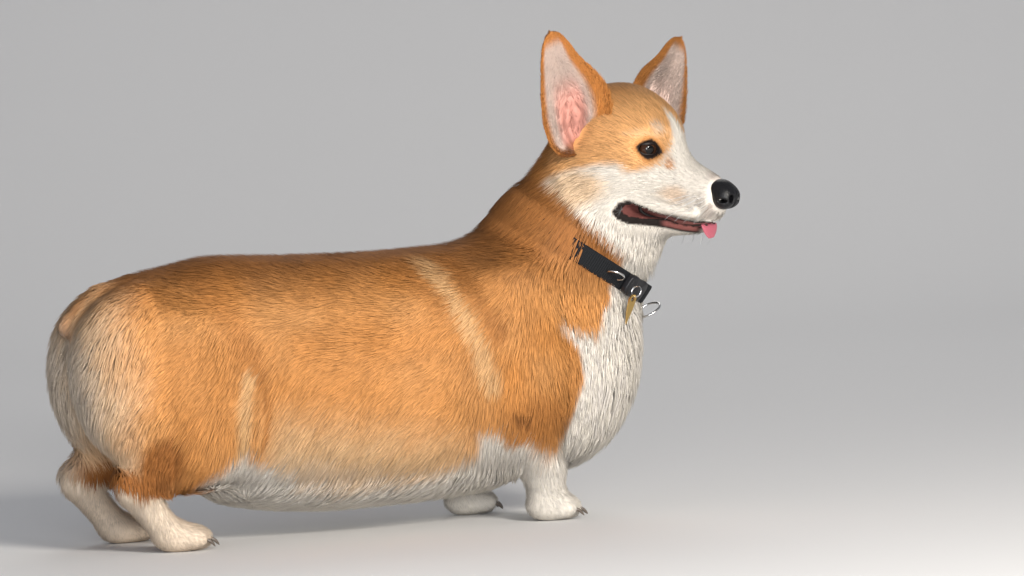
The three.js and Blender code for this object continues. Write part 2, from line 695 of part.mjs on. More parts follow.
function coatLocks() {
  const random = randomFrom(7);
  const vary = (v, share = 0.16) => v * (1 + share * (2 * random() - 1));
  const made = [];
  const place = (root, flow, { long, wide, thick }) => {
    const stray = add(flow, [0, random() - 0.5, 0], 0.3);
    made.push(lockSolid(root, stray, { long: vary(long), wide: vary(wide, 0.1), thick }));
  };
  for (const patch of PATCHES)
    for (let r = 0; r < patch.rows; r++)
      for (let c = 0; c < patch.columns; c++) {
        const across = (c + 0.5 * (r % 2) + 0.1 * random()) / (patch.columns - 0.5);
        const up = (r + 0.3 * random()) / (patch.rows - 1);
        const way = towards(mix(...patch.turn, across), mix(...patch.rise, up));
        place(rootOf(patch.from, way), patch.flow, patch);
      }
  for (const side of [-1, 1]) {
    for (let i = 0; i < FRINGE.count; i++) {
      const x = mix(FRINGE.from, FRINGE.to, (i + 0.3 * random()) / (FRINGE.count - 1));
      const way = [0, side * Math.cos(rad(FRINGE.rise)), Math.sin(rad(FRINGE.rise))];
      place(rootOf([x, 0, 120], way), [FRINGE.flow[0], side * 0.35, FRINGE.flow[2]], FRINGE);
    }
    for (let i = 0; i < CHEEK.count; i++) {
      const angle = rad(mix(CHEEK.from, CHEEK.to, i / (CHEEK.count - 1)));
      const way = head.way([-0.25, side * Math.cos(angle), -Math.sin(angle) - 0.25]);
      place(rootOf(head.out([-58, 0, -34]), unit(way)), head.way(CHEEK.flow), CHEEK);
    }
  }
  return made;
}
const locks = coatLocks().reduce((all, one) => all.add(one));

// Trunk, cut into chest, torso, rump and neck
const even = (step) => () => step;
const ground = beyond([0, 0, 0], [0, 0, 1]);
const TRUNK_GRID = [planes(-323, 330, even(26)), planes(-154, 152, even(22)), planes(-20, 420, even(22))];
const bodySolid = solidOf(surfaceOf(body, TRUNK_GRID)).add(locks).intersect(ground);

const NECK_CUT = { at: COLLAR.at, normal: COLLAR.normal };
const TAIL_CUT = { at: [-262, 0, 228], radii: [24, 20, 30], pitch: -50 };
const TAIL_GRID = [planes(-318, -210, even(9)), planes(-42, 42, even(9)), planes(176, 280, even(9))];
const HEAD_CUT = { at: head.out([-46, 0, -40]), normal: head.way([0.75, 0, 0.66]) };
const CHEST_CUT = { at: [172, 0, 150], normal: [1, 0, -0.12] };
const RUMP_CUT = { at: [-126, 0, 150], normal: [-1, 0, -0.1] };

function sliced(solid, { at, normal }) {
  return {
    ahead: solid.intersect(beyond(add(at, unit(normal), GAP / 2), normal)),
    behind: solid.subtract(beyond(add(at, unit(normal), -GAP / 2), normal)),
  };
}

// Each leg is cut from the trunk along a rounded shape that follows its own muscle.
const legCutters = {
  front_leg_left: frontCutter(FRONT.left),
  front_leg_right: frontCutter(FRONT.right),
  hind_leg_left: hindCutter(HIND.left),
  hind_leg_right: hindCutter(HIND.right),
};
function frontCutter({ side, x }) {
  return (grow) => ball([x - 16, side * 84, 62], [60, 56, 76], { grow });
}
function hindCutter({ side, x }) {
  return (grow) => ball([x - 4, side * 92, 92], [92, 76, 112], { grow });
}

const finished = new Map();

const trunkSolid = sliced(sliced(bodySolid, HEAD_CUT).behind, NECK_CUT);
finished.set("neck", largest(trunkSolid.ahead));
let rest = trunkSolid.behind;
for (const cutterOf of Object.values(legCutters)) rest = rest.subtract(cutterOf(CUT_GAP));
const chestCut = sliced(rest, CHEST_CUT);
const rumpCut = sliced(chestCut.behind, RUMP_CUT);
finished.set("chest", largest(chestCut.ahead));
finished.set("torso", largest(rumpCut.behind));
const tailCutter = (grow) => ball(TAIL_CUT.at, TAIL_CUT.radii, { grow, pitch: TAIL_CUT.pitch, around: 16 });
finished.set("rump", largest(rumpCut.ahead.subtract(tailCutter(CUT_GAP))));
finished.set("tail", largest(solidOf(surfaceOf(body, TAIL_GRID)).intersect(tailCutter(0))));

// Legs and paws, at a finer step than the trunk
const WRIST = 27;
for (const [name, cutterOf] of Object.entries(legCutters)) {
  const { x, side } = (name.startsWith("front") ? FRONT : HIND)[name.split("_")[2]];
  const across = (v) => (Math.abs(Math.abs(v) - STANCE_HALF) < 26 ? 9 : 15);
  const grid = [
    planes(x - 116, x + 100, (v) => (Math.abs(v - x) < 40 ? 10 : 15)),
    side > 0 ? planes(-14, 160, across) : planes(-160, 14, across),
    planes(-14, 240, (v) => (v < 34 ? 9 : v < 80 ? 11 : 19)),
  ];
  const whole = solidOf(surfaceOf(body, grid)).add(locks).intersect(ground).intersect(cutterOf(0));
  const cut = sliced(largest(whole), { at: [0, 0, WRIST], normal: [0, 0, 1] });
  finished.set(name, largest(cut.ahead));
  finished.set(name.replace("leg", "paw"), largest(cut.behind));
}

// Head with its ears, eyes, nose, jaw and tongue
const HEAD_GRID = [
  planes(-136, 92, (v) => (v < -60 ? 16 : v < -22 ? 11 : 7.6)),
  planes(-100, 100, (v) => (Math.abs(v + 4) < 42 ? 8.2 : 14)),
  planes(-132, 86, (v) => (v < -92 ? 14 : v < 12 ? 8 : 12)),
];
const headSurface = surfaceOf((p) => body(head.out(p)), HEAD_GRID).applyMatrix4(head.matrix);
let headSolid = largest(sliced(solidOf(headSurface).add(locks), HEAD_CUT).ahead);

const EAR_CUT = { share: 0.62, radii: [62, 58, 62] };
for (const ear of Object.values(EARS)) headSolid = headSolid.add(earSolid(ear));
for (const [name, ear] of Object.entries(EARS)) {
  const middle = add(add(ear.root, sub(ear.tip, ear.root), EAR_CUT.share), [0, ear.side * 4, 6]);
  const cut = part(headSolid, (grow) => ball(middle, EAR_CUT.radii, { grow, frame: head }));
  finished.set("ear_" + name, cut.inside);
  headSolid = cut.rest;
}

const sides = { left: 1, right: -1 };
for (const [name, side] of Object.entries(sides)) {
  const r = EYE.radius + LID.proud;
  const lid = ball(eyeCentre(side), [r, r, r], { around: 16, tall: 9, frame: head });
  headSolid = headSolid.add(lid).subtract(almond(side)).subtract(eyeBall(side, GAP));
  finished.set("eye_" + name, eyeBall(side, 0));
}

const NOSE_STEP = 4.6;
const noseGrid = [NOSE.x, 0, NOSE.z].map((v) => planes(v - 24, v + 24, even(NOSE_STEP)));
const noseGrown = (grow) => solidOf(surfaceOf((p) => noseForm(p) - grow, noseGrid).applyMatrix4(head.matrix));
const noseFront = beyond(head.out([NOSE.x - 8, 0, NOSE.z]), head.way([1, 0, 0.2]));
const noseSolid = noseGrown(0).subtract(nostril(1)).subtract(nostril(-1));
finished.set("nose", largest(noseSolid.intersect(noseFront)));
headSolid = headSolid.subtract(noseGrown(2 * GAP));

headSolid = headSolid.subtract(mouthGap()).subtract(tongueSolid(GAP + 0.1));
const jawCut = { inside: headSolid.intersect(jawBlock(0)), rest: headSolid.subtract(jawBlock(GAP)) };
finished.set("head", largest(jawCut.rest));
finished.set("lower_jaw", largest(jawCut.inside));
finished.set("tongue", tongueSolid(0));

// Collar set: strap, side-release buckle, wire loop, half ring and pointed tag
const BUCKLE = { turn: -52, long: 34, wide: 21, thick: 7 };
const RINGS = {
  collar_loop: { turn: -75, radius: 9, wire: 1, place: [0, 0, 1], tilt: [62, 0, 0] },
  collar_ring: { turn: -19, radius: 12, wire: 1.1, place: [0, -11, 7], tilt: [30, 20, 0] },
  tag_ring: { turn: -58, radius: 5, wire: 0.9, place: [0, -2, 12.4], tilt: [0, 90, 0] },
};
const TAG = { turn: -58, long: 27, wide: 9, thick: 1.5, hole: 2.4, place: [0, -9.5, 13.4], swing: 28 };

function ringSolid({ turn, radius, wire, place, tilt }, grow) {
  return onCollar(new THREE.TorusGeometry(radius, wire + grow, 6, 18), turn, place, tilt);
}
function buckleSolid(grow) {
  const long = BUCKLE.long + 2 * grow;
  const wide = BUCKLE.wide + 2 * grow;
  const shape = new THREE.Shape();
  shape.absellipse(0, 0, long / 2, wide / 2, 0, 2 * Math.PI);
  const outline = new THREE.Shape(
    shape.getPoints(8).map((p) => {
      const square = Math.max(Math.abs(p.x) / (long / 2), Math.abs(p.y) / (wide / 2));
      return p.multiplyScalar(0.94 / Math.max(square, 0.78));
    }),
  );
  const g = new THREE.ExtrudeGeometry(outline, { depth: BUCKLE.thick + 2 * grow, bevelEnabled: false });
  return onCollar(g, BUCKLE.turn, [0, 0, COLLAR.outer + GAP - grow]);
}
function tagSolid(grow) {
  const shape = new THREE.Shape();
  const [half, long] = [TAG.wide / 2 + grow, TAG.long + grow];
  shape.moveTo(-half, grow);
  shape.lineTo(0, -long);
  shape.lineTo(half, grow);
  shape.absarc(0, grow, half, 0, Math.PI);
  const hole = new THREE.Path();
  hole.absarc(0, 0, TAG.hole - grow, 0, 2 * Math.PI, true);
  shape.holes.push(hole);
  const depth = TAG.thick + 2 * grow;
  const g = new THREE.ExtrudeGeometry(shape, { depth, bevelEnabled: false, curveSegments: 8 });
  return onCollar(g.translate(0, 0, -TAG.thick / 2 - grow), TAG.turn, TAG.place, [0, 0, TAG.swing]);
}

const collarSet = new Map([
  ["collar_strap", collarBand(COLLAR.inner, COLLAR.outer, COLLAR.half).subtract(buckleSolid(GAP))],
  ["collar_buckle", buckleSolid(0)],
  ["collar_tag", tagSolid(0)],
  ...Object.entries(RINGS).map(([name, ring]) => [name, ringSolid(ring, 0)]),
]);
const collarRoom = [
  collarBand(COLLAR.inner - GAP, 14, COLLAR.half + GAP),
  buckleSolid(GAP),
  tagSolid(GAP),
  ...Object.values(RINGS).map((ring) => ringSolid(ring, GAP)),
];
for (const name of ["neck", "chest", "torso", "head"]) {
  let solid = finished.get(name);
  for (const room of collarRoom) solid = solid.subtract(room);
  finished.set(name, largest(solid));
}
const ringRoom = Object.values(RINGS).map((ring) => ringSolid(ring, GAP));
for (const [name, solid] of collarSet) {
  const threaded = name in RINGS ? solid : ringRoom.reduce((made, room) => made.subtract(room), solid);
  finished.set(name, largest(threaded));
}

// The group shows the dog with its paws on the floor, centred under its own outline.
const COLOURS = {
  red: [0xc98a4b, 0.9],
  white: [0xe6ddd0, 0.9],
  dark: [0x17130f, 0.25],
  nose: [0x141414, 0.45],
  tongue: [0xb0505c, 0.5],
  webbing: [0x15171b, 0.7],
  steel: [0xb9bcc0, 0.3],
  brass: [0xb08a3e, 0.35],
};
function finish(key) {
  const [color, roughness] = COLOURS[key];
  return new THREE.MeshStandardMaterial({ color, roughness, metalness: 0 });
}
const FINISH_BY_NAME = [
  [/ring|loop/, "steel"],
  [/tag/, "brass"],
  [/collar/, "webbing"],
  [/paw|chest|jaw/, "white"],
  [/eye/, "dark"],
  [/nose/, "nose"],
  [/tongue/, "tongue"],
  [/./, "red"],
];
const finishOf = (name) => FINISH_BY_NAME.find(([words]) => words.test(name))[1];

function geometryOf(solid) {
  const { vertProperties, triVerts } = solid.getMesh();
  const geometry = new THREE.BufferGeometry();
  geometry.setAttribute("position", new THREE.BufferAttribute(vertProperties, 3));
  geometry.setIndex(new THREE.BufferAttribute(triVerts, 1));
  return geometry;
}

const outline = new THREE.Box3();
for (const solid of finished.values()) {
  const { min, max } = solid.boundingBox();
  outline.union(new THREE.Box3(new THREE.Vector3(...min), new THREE.Vector3(...max)));
}
const centre = outline.getCenter(new THREE.Vector3());

const model = new THREE.Group();
for (const [name, solid] of finished) {
  const placed = geometryOf(solid).translate(-centre.x, -centre.y, -outline.min.z);
  const mesh = new THREE.Mesh(geometryOf(largest(solidOf(placed))), finish(finishOf(name)));
  mesh.name = name;
  model.add(mesh);
}

export default model;
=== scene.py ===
import math
from itertools import product

import bpy
import numpy as np
from bpy.props import FloatProperty, FloatVectorProperty, IntProperty, PointerProperty
from mathutils import Matrix, Vector


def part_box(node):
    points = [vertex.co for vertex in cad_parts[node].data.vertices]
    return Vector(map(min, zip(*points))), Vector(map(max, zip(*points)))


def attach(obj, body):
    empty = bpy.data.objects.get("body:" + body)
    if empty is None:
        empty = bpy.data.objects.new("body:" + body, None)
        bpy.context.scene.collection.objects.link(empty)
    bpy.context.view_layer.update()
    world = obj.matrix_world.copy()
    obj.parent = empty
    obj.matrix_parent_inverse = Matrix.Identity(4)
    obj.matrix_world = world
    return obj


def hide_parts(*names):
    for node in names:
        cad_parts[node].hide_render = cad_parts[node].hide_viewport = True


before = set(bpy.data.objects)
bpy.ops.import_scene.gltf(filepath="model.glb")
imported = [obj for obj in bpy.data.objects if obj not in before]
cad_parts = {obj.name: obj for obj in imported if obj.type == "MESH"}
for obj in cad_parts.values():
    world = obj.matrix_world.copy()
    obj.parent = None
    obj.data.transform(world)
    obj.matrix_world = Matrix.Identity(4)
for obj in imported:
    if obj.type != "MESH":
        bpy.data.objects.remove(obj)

bl_info = {
    "name": "Pembroke Welsh corgi",
    "version": (1, 0, 0),
    "blender": (4, 5, 0),
    "location": "3D View > Sidebar > Corgi",
    "description": "Skin, coat, face and collar of a standing corgi, built over its packed solids",
    "category": "Object",
}

# The dog's own frame is in millimetres: +X from tail to chest, +Y to its left, +Z up, paws on z = 0.
BACK_HEIGHT = 260.0
BELLY_HEIGHT = 24.0
LONG_COAT = 7.0
BODY_HALF_WIDTH = 112.0
RUMP_X = -284.0
CHEST_X = 280.0
STANCE_HALF = 58.0
HIP_X = -191.0
HEAD_AT = (289.0, -59.0, 337.0)
HEAD_TURN = {"yaw": -50.0, "pitch": 10.0, "roll": 2.0}
# Eyes: place in the head's frame, radius, degrees that they look outwards and how far they stand out
EYE = {"x": 3.0, "y": 27.5, "z": 0.0, "radius": 11.0, "look": 37.0, "show": 2.0}
LID = {"half": 10.4, "tall": 7.6, "tilt": 10.0}
NOSE_AT = (70.0, 0.0, -35.0)
FRONT_LEGS = ((1.0, 112.0), (-1.0, 157.0))
HIND_LEGS = ((1.0, -213.0), (-1.0, -190.0))
COLLAR_AT = (216.0, -8.0, 245.0)
COLLAR_WAY = (0.57, -0.15, 0.82)
COLLAR_HALF = 9.5
COLLAR_DEPTHS = (-4.2, -1.2)
# Ears: degrees that the opening is turned outwards, depth of the hollow and height of the folds in it
EARS = {
    "left": {
        "side": 1.0, "root": (-52, 56, -8), "tip": (-58, 113, 85),
        "open": -21.0, "cup": 12.0, "fold": 0.2,
    },
    "right": {
        "side": -1.0, "root": (-51, -56, -8), "tip": (-60, -113, 106),
        "open": 31.0, "cup": 20.0, "fold": 2.3,
    },
}


# Settings of the add-on


class CorgiSizes(bpy.types.PropertyGroup):
    coat_thickness: FloatProperty(
        name="Coat thickness",
        description="How many tufts grow, against the usual number",
        default=1.0,
        min=0.05,
    )
    skin_step: FloatProperty(
        name="Skin step", description="Grid step of the body's skin", default=0.005, unit="LENGTH"
    )
    face_step: FloatProperty(
        name="Face step", description="Grid step of the skin of the head", default=0.0021, unit="LENGTH"
    )
    seed: IntProperty(name="Seed", description="Starting number of every random draw", default=11)
    camera_turn: FloatProperty(
        name="Camera turn", description="Azimuth of the camera", default=math.radians(-17.0), subtype="ANGLE"
    )
    camera_rise: FloatProperty(
        name="Camera rise", description="Elevation of the camera", default=math.radians(3.0), subtype="ANGLE"
    )
    camera_roll: FloatProperty(
        name="Camera roll", description="Roll of the camera", default=math.radians(3.1), subtype="ANGLE"
    )
    camera_reach: FloatProperty(
        name="Camera distance", description="From the camera to the dog", default=5.0, unit="LENGTH"
    )


def colour(name, words, value):
    """A colour setting with its name, what it colours and its linear value."""
    return FloatVectorProperty(name=name, description=words, default=value, subtype="COLOR", size=3, max=1.0)


class CorgiColours(bpy.types.PropertyGroup):
    red: colour("Red", "Coat of the back, flanks and thighs", (0.60, 0.245, 0.062))
    dark: colour("Dark", "Dark-tipped hair of the back, nape and hocks", (0.19, 0.065, 0.018))
    pale: colour("Pale", "Paler coat of the lower flanks and breeches", (0.72, 0.45, 0.22))
    white: colour("White", "White coat of the bib, legs, blaze and cheeks", (0.70, 0.65, 0.575))
    skin: colour("Skin", "Pink bare skin inside the ears", (0.66, 0.29, 0.23))
    rim: colour("Rims", "Black-brown rims of the eyes and lips", (0.018, 0.012, 0.010))
    gum: colour("Gum", "Brown-pink inner side of the lips", (0.22, 0.075, 0.065))
    tongue: colour("Tongue", "Moist pink tongue", (0.43, 0.10, 0.135))
    iris: colour("Iris", "Dark brown iris", (0.034, 0.015, 0.008))
    nose: colour("Nose", "Black nose leather", (0.005, 0.005, 0.006))
    claw: colour("Claws", "Dark horn of the claws", (0.10, 0.08, 0.065))
    webbing: colour("Webbing", "Black collar webbing", (0.010, 0.011, 0.013))
    buckle: colour("Buckle", "Black moulded plastic", (0.012, 0.012, 0.014))
    steel: colour("Steel", "Bright bent wire", (0.62, 0.62, 0.62))
    brass: colour("Brass", "Plain brass", (0.60, 0.40, 0.14))
    floor: colour("Floor", "Pale floor and backdrop", (0.78, 0.78, 0.78))


def sizes():
    return bpy.context.scene.corgi_sizes


def tint(name):
    """A colour setting as an array of three numbers."""
    return np.array(getattr(bpy.context.scene.corgi_colours, name)[:])


# Small helpers on arrays of points


def unit(v):
    return v / np.maximum(np.linalg.norm(v, axis=-1, keepdims=True), 1e-9)


def ramp(low, high, v):
    """Smooth step from 0 at low to 1 at high; low may be the larger of the two."""
    t = np.clip((v - low) / (high - low), 0.0, 1.0)
    return t * t * (3.0 - 2.0 * t)


def mix(a, b, t):
    return a + (b - a) * t


def blend(base, over, share):
    """Lays one colour over an array of colours by an array of shares."""
    return base + (over - base) * share[:, None]


def curve(points, v):
    """Straight-line reading of a list of (place, value) pairs."""
    table = np.array(points, float)
    return np.interp(v, table[:, 0], table[:, 1])


def all_pairs(a, b):
    """Every value of one list with every value of the other, as two long arrays."""
    return [grid.ravel() for grid in np.meshgrid(a, b, indexing="ij")]


def smoothed(values, rounds):
    """Evens a run of values by their neighbours a few times, ends kept: a quarter, a half and a quarter."""
    for _ in range(rounds):
        values[1:-1] = (values[:-2] + 2 * values[1:-1] + values[2:]) / 4
    return values


def squarer(v, power):
    """Pushes sines and cosines towards their ends, so that a ring of them turns squarer."""
    return np.sign(v) * np.abs(v) ** power


def hashed(*cells):
    """Repeatable numbers from 0 to 1 for whole-number cells."""
    n = np.zeros(np.broadcast(*cells).shape, np.uint64)
    for cell, prime in zip(cells, (73856093, 19349663, 83492791, 2654435761)):
        n ^= cell.astype(np.int64).astype(np.uint64) * np.uint64(prime)
    n = (n ^ (n >> np.uint64(13))) * np.uint64(0x9E3779B97F4A7C15)
    n ^= n >> np.uint64(29)
    return (n & np.uint64(0xFFFFFF)).astype(float) / float(0xFFFFFF)


def hashed_line(cells, seed):
    """Repeatable numbers from 0 to 1 for whole-number cells on a line."""
    blank = np.zeros(len(cells))
    return hashed(cells, blank, blank, np.full(len(cells), seed))


def noise(p, scale, seed):
    """Value noise from -1 to 1: smooth mixing of hashed numbers at the corners of cells of that size."""
    q = np.asarray(p, float) / scale
    cell = np.floor(q)
    f = q - cell
    f = f * f * (3.0 - 2.0 * f)
    total = np.zeros(len(q))
    for corner in product((0, 1), repeat=3):
        c = cell + corner
        weight = np.prod(np.where(np.array(corner) == 1, f, 1.0 - f), axis=1)
        total += weight * hashed(c[:, 0], c[:, 1], c[:, 2], np.full(len(q), seed))
    return total * 2.0 - 1.0


# Turned frames


def turning(yaw=0.0, pitch=0.0, roll=0.0):
    """Matrix whose columns are the axes after roll about X, pitch about Y and yaw about Z."""
    y, p, r = (math.radians(a) for a in (yaw, pitch, roll))
    about_z = np.array([[math.cos(y), -math.sin(y), 0], [math.sin(y), math.cos(y), 0], [0, 0, 1]])
    about_y = np.array([[math.cos(p), 0, math.sin(p)], [0, 1, 0], [-math.sin(p), 0, math.cos(p)]])
    about_x = np.array([[1, 0, 0], [0, math.cos(r), -math.sin(r)], [0, math.sin(r), math.cos(r)]])
    return about_z @ about_y @ about_x


class Place:
    """A turned frame: out() takes its own points to the dog's frame and inside() brings them back."""

    def __init__(self, at, yaw=0.0, pitch=0.0, roll=0.0):
        self.at = np.array(at, float)
        self.axes = turning(yaw, pitch, roll)

    def out(self, p):
        return np.asarray(p, float) @ self.axes.T + self.at

    def inside(self, p):
        return (np.asarray(p, float) - self.at) @ self.axes

    def way(self, d):
        return np.asarray(d, float) @ self.axes.T


HEAD = Place(HEAD_AT, **HEAD_TURN)


# Fields of the body: each is negative inside its form


def ellipsoid(at, radii, yaw=0.0, pitch=0.0):
    place = Place(at, yaw, pitch)
    r = np.array(radii, float)

    def field(p):
        q = place.inside(p)
        near = np.linalg.norm(q / r, axis=-1)
        far = np.linalg.norm(q / r**2, axis=-1)
        return near * (near - 1.0) / np.maximum(far, 1e-9)

    return field


def taper(start, end, start_radius, end_radius):
    a = np.array(start, float)
    along = np.array(end, float) - a

    def field(p):
        q = p - a
        t = np.clip(q @ along / (along @ along), 0.0, 1.0)
        return np.linalg.norm(q - t[..., None] * along, axis=-1) - mix(start_radius, end_radius, t)

    return field


def mirrored(form):
    def field(p):
        q = np.array(p, float)
        q[..., 1] = np.abs(q[..., 1])
        return form(q)

    return field


def sculpt(*pairs):
    """Joins (form, softness) pairs one after another; a negative softness carves the form away."""

    def field(p):
        d = pairs[0][0](p)
        for form, softness in pairs[1:]:
            k = abs(softness)
            e = form(p) if softness > 0 else -form(p)
            h = np.maximum(k - np.abs(d - e), 0.0) / k
            d = np.minimum(d, e) - h * h * k / 4 if softness > 0 else np.maximum(d, e) + h * h * k / 4
        return d

    return field


BARREL = np.array(
    [
        [-215, BACK_HEIGHT - 3, 72, BODY_HALF_WIDTH - 20],
        [-140, BACK_HEIGHT + 4, 38, BODY_HALF_WIDTH - 14],
        [-60, BACK_HEIGHT, BELLY_HEIGHT + 1, BODY_HALF_WIDTH - 3],
        [20, BACK_HEIGHT - 2, BELLY_HEIGHT, BODY_HALF_WIDTH],
        [100, BACK_HEIGHT, BELLY_HEIGHT + 4, BODY_HALF_WIDTH - 6],
        [190, BACK_HEIGHT - 2, 42, BODY_HALF_WIDTH - 20],
    ]
)
BARREL_END = 78.0
BARREL_SQUARENESS = 2.3


def stations_at(table, x):
    """Smooth curve through the rows of a table, read at x: cubic pieces with slopes from the neighbours."""
    last = len(table) - 1
    i = np.clip(np.searchsorted(table[:, 0], x, side="left") - 1, 0, last - 1)
    a, b = table[i], table[i + 1]
    before, after = table[np.maximum(i - 1, 0)], table[np.minimum(i + 2, last)]
    gap = (b[:, 0] - a[:, 0])[:, None]
    t = np.clip((x - a[:, 0]) / (b[:, 0] - a[:, 0]), 0, 1)[:, None]
    slope_in = (b[:, 1:] - before[:, 1:]) / (b[:, :1] - before[:, :1]) * gap
    slope_out = (after[:, 1:] - a[:, 1:]) / (after[:, :1] - a[:, :1]) * gap
    return (
        a[:, 1:] * (2 * t**3 - 3 * t**2 + 1)
        + slope_in * (t**3 - 2 * t**2 + t)
        + b[:, 1:] * (-2 * t**3 + 3 * t**2)
        + slope_out * (t**3 - t**2)
    )


def barrel(p):
    """Round-ended barrel of the trunk: a squarish oval whose top, bottom and width change along X."""
    top, bottom, half = stations_at(BARREL, p[:, 0]).T
    middle = mix(bottom, top, 0.46)
    rise = p[:, 2] - middle
    tall = np.where(rise > 0, top - middle, middle - bottom)
    n = BARREL_SQUARENESS
    f = ((np.abs(p[:, 1]) / half) ** n + (np.abs(rise) / tall) ** n) ** (1 / n)
    side = np.hypot(p[:, 1], rise) * (1 - 1 / np.maximum(f, 1e-6))
    side = np.where(f < 1e-6, -half, side)
    a = np.maximum(BARREL[0, 0] - p[:, 0], p[:, 0] - BARREL[-1, 0]) + BARREL_END
    b = np.maximum(side, -BARREL_END) + BARREL_END
    return np.minimum(np.maximum(a, b), 0) + np.hypot(np.maximum(a, 0), np.maximum(b, 0)) - BARREL_END


def paw_form(x, y, splay):
    paw = Place((x, y, 0), splay)
    toes = []
    for n in (-1.5, -0.5, 0.5, 1.5):
        at = paw.out((17 - 2.6 * n * n, n * 10.5, 11))
        toes.append((ellipsoid(at, (13, 8.2, 10), yaw=splay + n * 5), 5))
    return sculpt((ellipsoid((x, y, 12), (27, 22, 15), yaw=splay), 1), *toes)


def front_leg(side, x):
    y = side * STANCE_HALF
    return sculpt(
        (ellipsoid((x - 26, side * 70, 118), (50, 36, 62), pitch=20), 1),
        (taper((x - 20, side * 68, 100), (x + 1, y + side * 2, 44), 33, 20), 22),
        (taper((x + 1, y + side * 2, 48), (x + 2, y, 20), 19.5, 18), 12),
        (paw_form(x + 8, y, side * 8), 10),
    )


def hind_leg(side, x):
    y = side * (STANCE_HALF + 3)
    hock = (x - 42, y, 62)
    return sculpt(
        (ellipsoid((HIP_X + 4, side * 62, 142), (82, 49, 84), pitch=-14), 1),
        (ellipsoid((HIP_X + 28, side * 74, 100), (48, 30, 44), pitch=24), 24),
        (taper((x + 10, side * 70, 92), hock, 34, 19), 16),
        (taper(hock, (x - 10, y, 18), 18, 16), 10),
        (paw_form(x + 4, y, side * 6), 12),
    )


trunk = sculpt(
    (barrel, 1),
    (mirrored(ellipsoid((RUMP_X + 76, 44, 164), (76 - LONG_COAT, 52, 80))), 22),
    (ellipsoid((-182, 0, 184), (80, 74, 71), pitch=4), 16),
    (taper((-238, 0, 229), (RUMP_X + 14, 0, 206), 14, 9), 16),
    (ellipsoid((CHEST_X - 94, 0, 153), (94 - LONG_COAT, 87 - LONG_COAT, 119 - LONG_COAT), pitch=4), 30),
    (mirrored(ellipsoid((128, 66, 158), (62, 42, 92), pitch=12)), 26),
    (taper((160, 0, 190), (212, -8, 254), 87, 71), 18),
    (taper((212, -8, 254), (251, -18, 304), 71, 60), 14),
    (ellipsoid((251, -20, 230), (37, 38, 46), yaw=-12), 20),
)

# Masses of the head in its own frame: +X along the muzzle, origin midway between the eyes
skull = sculpt(
    (ellipsoid((-48, 0, -2), (60, 56, 54)), 1),
    (mirrored(ellipsoid((-54, 21, 12), (40, 32, 35))), 16),
    (ellipsoid((-14, 0, 6), (38, 33, 30), pitch=38), 18),
    (taper((6, 0, -22), (62, 0, -33), 24, 14.5), 18),
    (taper((0, 0, -34), (58, 0, -42), 26, 15), 12),
    (ellipsoid((63, 0, -47), (17, 14, 10)), 8),
    (mirrored(taper((-2, 34, -49), (50, 17, -54), 7, 6)), 8),
    (mirrored(ellipsoid((-42, 30, -30), (41, 28, 32), yaw=-8)), 14),
    (mirrored(ellipsoid((-66, 40, -44), (38, 30, 44))), 20),
    (mirrored(ellipsoid((26, 37, 0), (26, 16, 15), yaw=28)), -12),
    (taper((-30, 0, -60), (52, 0, -66), 26, 12), 12),
    (ellipsoid((-34, 0, -74), (36, 32, 34)), 14),
)
body = sculpt(
    (trunk, 1),
    (front_leg(*FRONT_LEGS[0]), 16),
    (front_leg(*FRONT_LEGS[1]), 16),
    (hind_leg(*HIND_LEGS[0]), 16),
    (hind_leg(*HIND_LEGS[1]), 16),
    (lambda p: skull(HEAD.inside(p)), 26),
)


def in_chunks(field, p, count=200000):
    """Reads a field at many points, a share of them at a time, to keep memory small."""
    return np.concatenate([field(p[i : i + count]) for i in range(0, len(p), count)])


def slope_of(field, p, step=0.5):
    """Slope of a field at each point, by central differences."""
    columns = []
    for axis in range(3):
        d = np.zeros(3)
        d[axis] = step
        columns.append((field(p + d) - field(p - d)) / (2 * step))
    return np.stack(columns, -1)


# Fields read on a regular grid


class Sampled:
    """A field kept on a grid of the given step, in a place of its own, and read by three-way mixing."""

    def __init__(self, field, low, high, step, place=None):
        self.place = place
        self.step = step
        self.low = np.array(low, float)
        self.count = np.ceil((np.array(high, float) - self.low) / step).astype(int) + 1
        self.lines = [self.low[a] + step * np.arange(self.count[a]) for a in range(3)]
        self.points = np.stack(np.meshgrid(*self.lines, indexing="ij"), -1).reshape(-1, 3)
        self.values = in_chunks(field, self.world()).reshape(self.count)

    def world(self):
        return self.points if self.place is None else self.place.out(self.points)

    def at(self, p):
        q = p if self.place is None else self.place.inside(p)
        q = (q - self.low) / self.step
        q = np.clip(q, 0, self.count - 1.001)
        cell = q.astype(int)
        f = q - cell
        total = np.zeros(len(q))
        for i, j, k in product((0, 1), repeat=3):
            w = [f[:, axis] if far else 1 - f[:, axis] for axis, far in enumerate((i, j, k))]
            total += w[0] * w[1] * w[2] * self.values[cell[:, 0] + i, cell[:, 1] + j, cell[:, 2] + k]
        return total

    def way_out(self, p):
        return unit(slope_of(self.at, p, self.step * 0.6))

    def settled(self, p, level):
        """Moves points along the slope until the field has the given level there."""
        for _ in range(2):
            g = slope_of(self.at, p, self.step * 0.6)
            size = np.maximum((g * g).sum(-1), 0.2)
            p = p - g * ((self.at(p) - level) / size)[:, None]
        return p


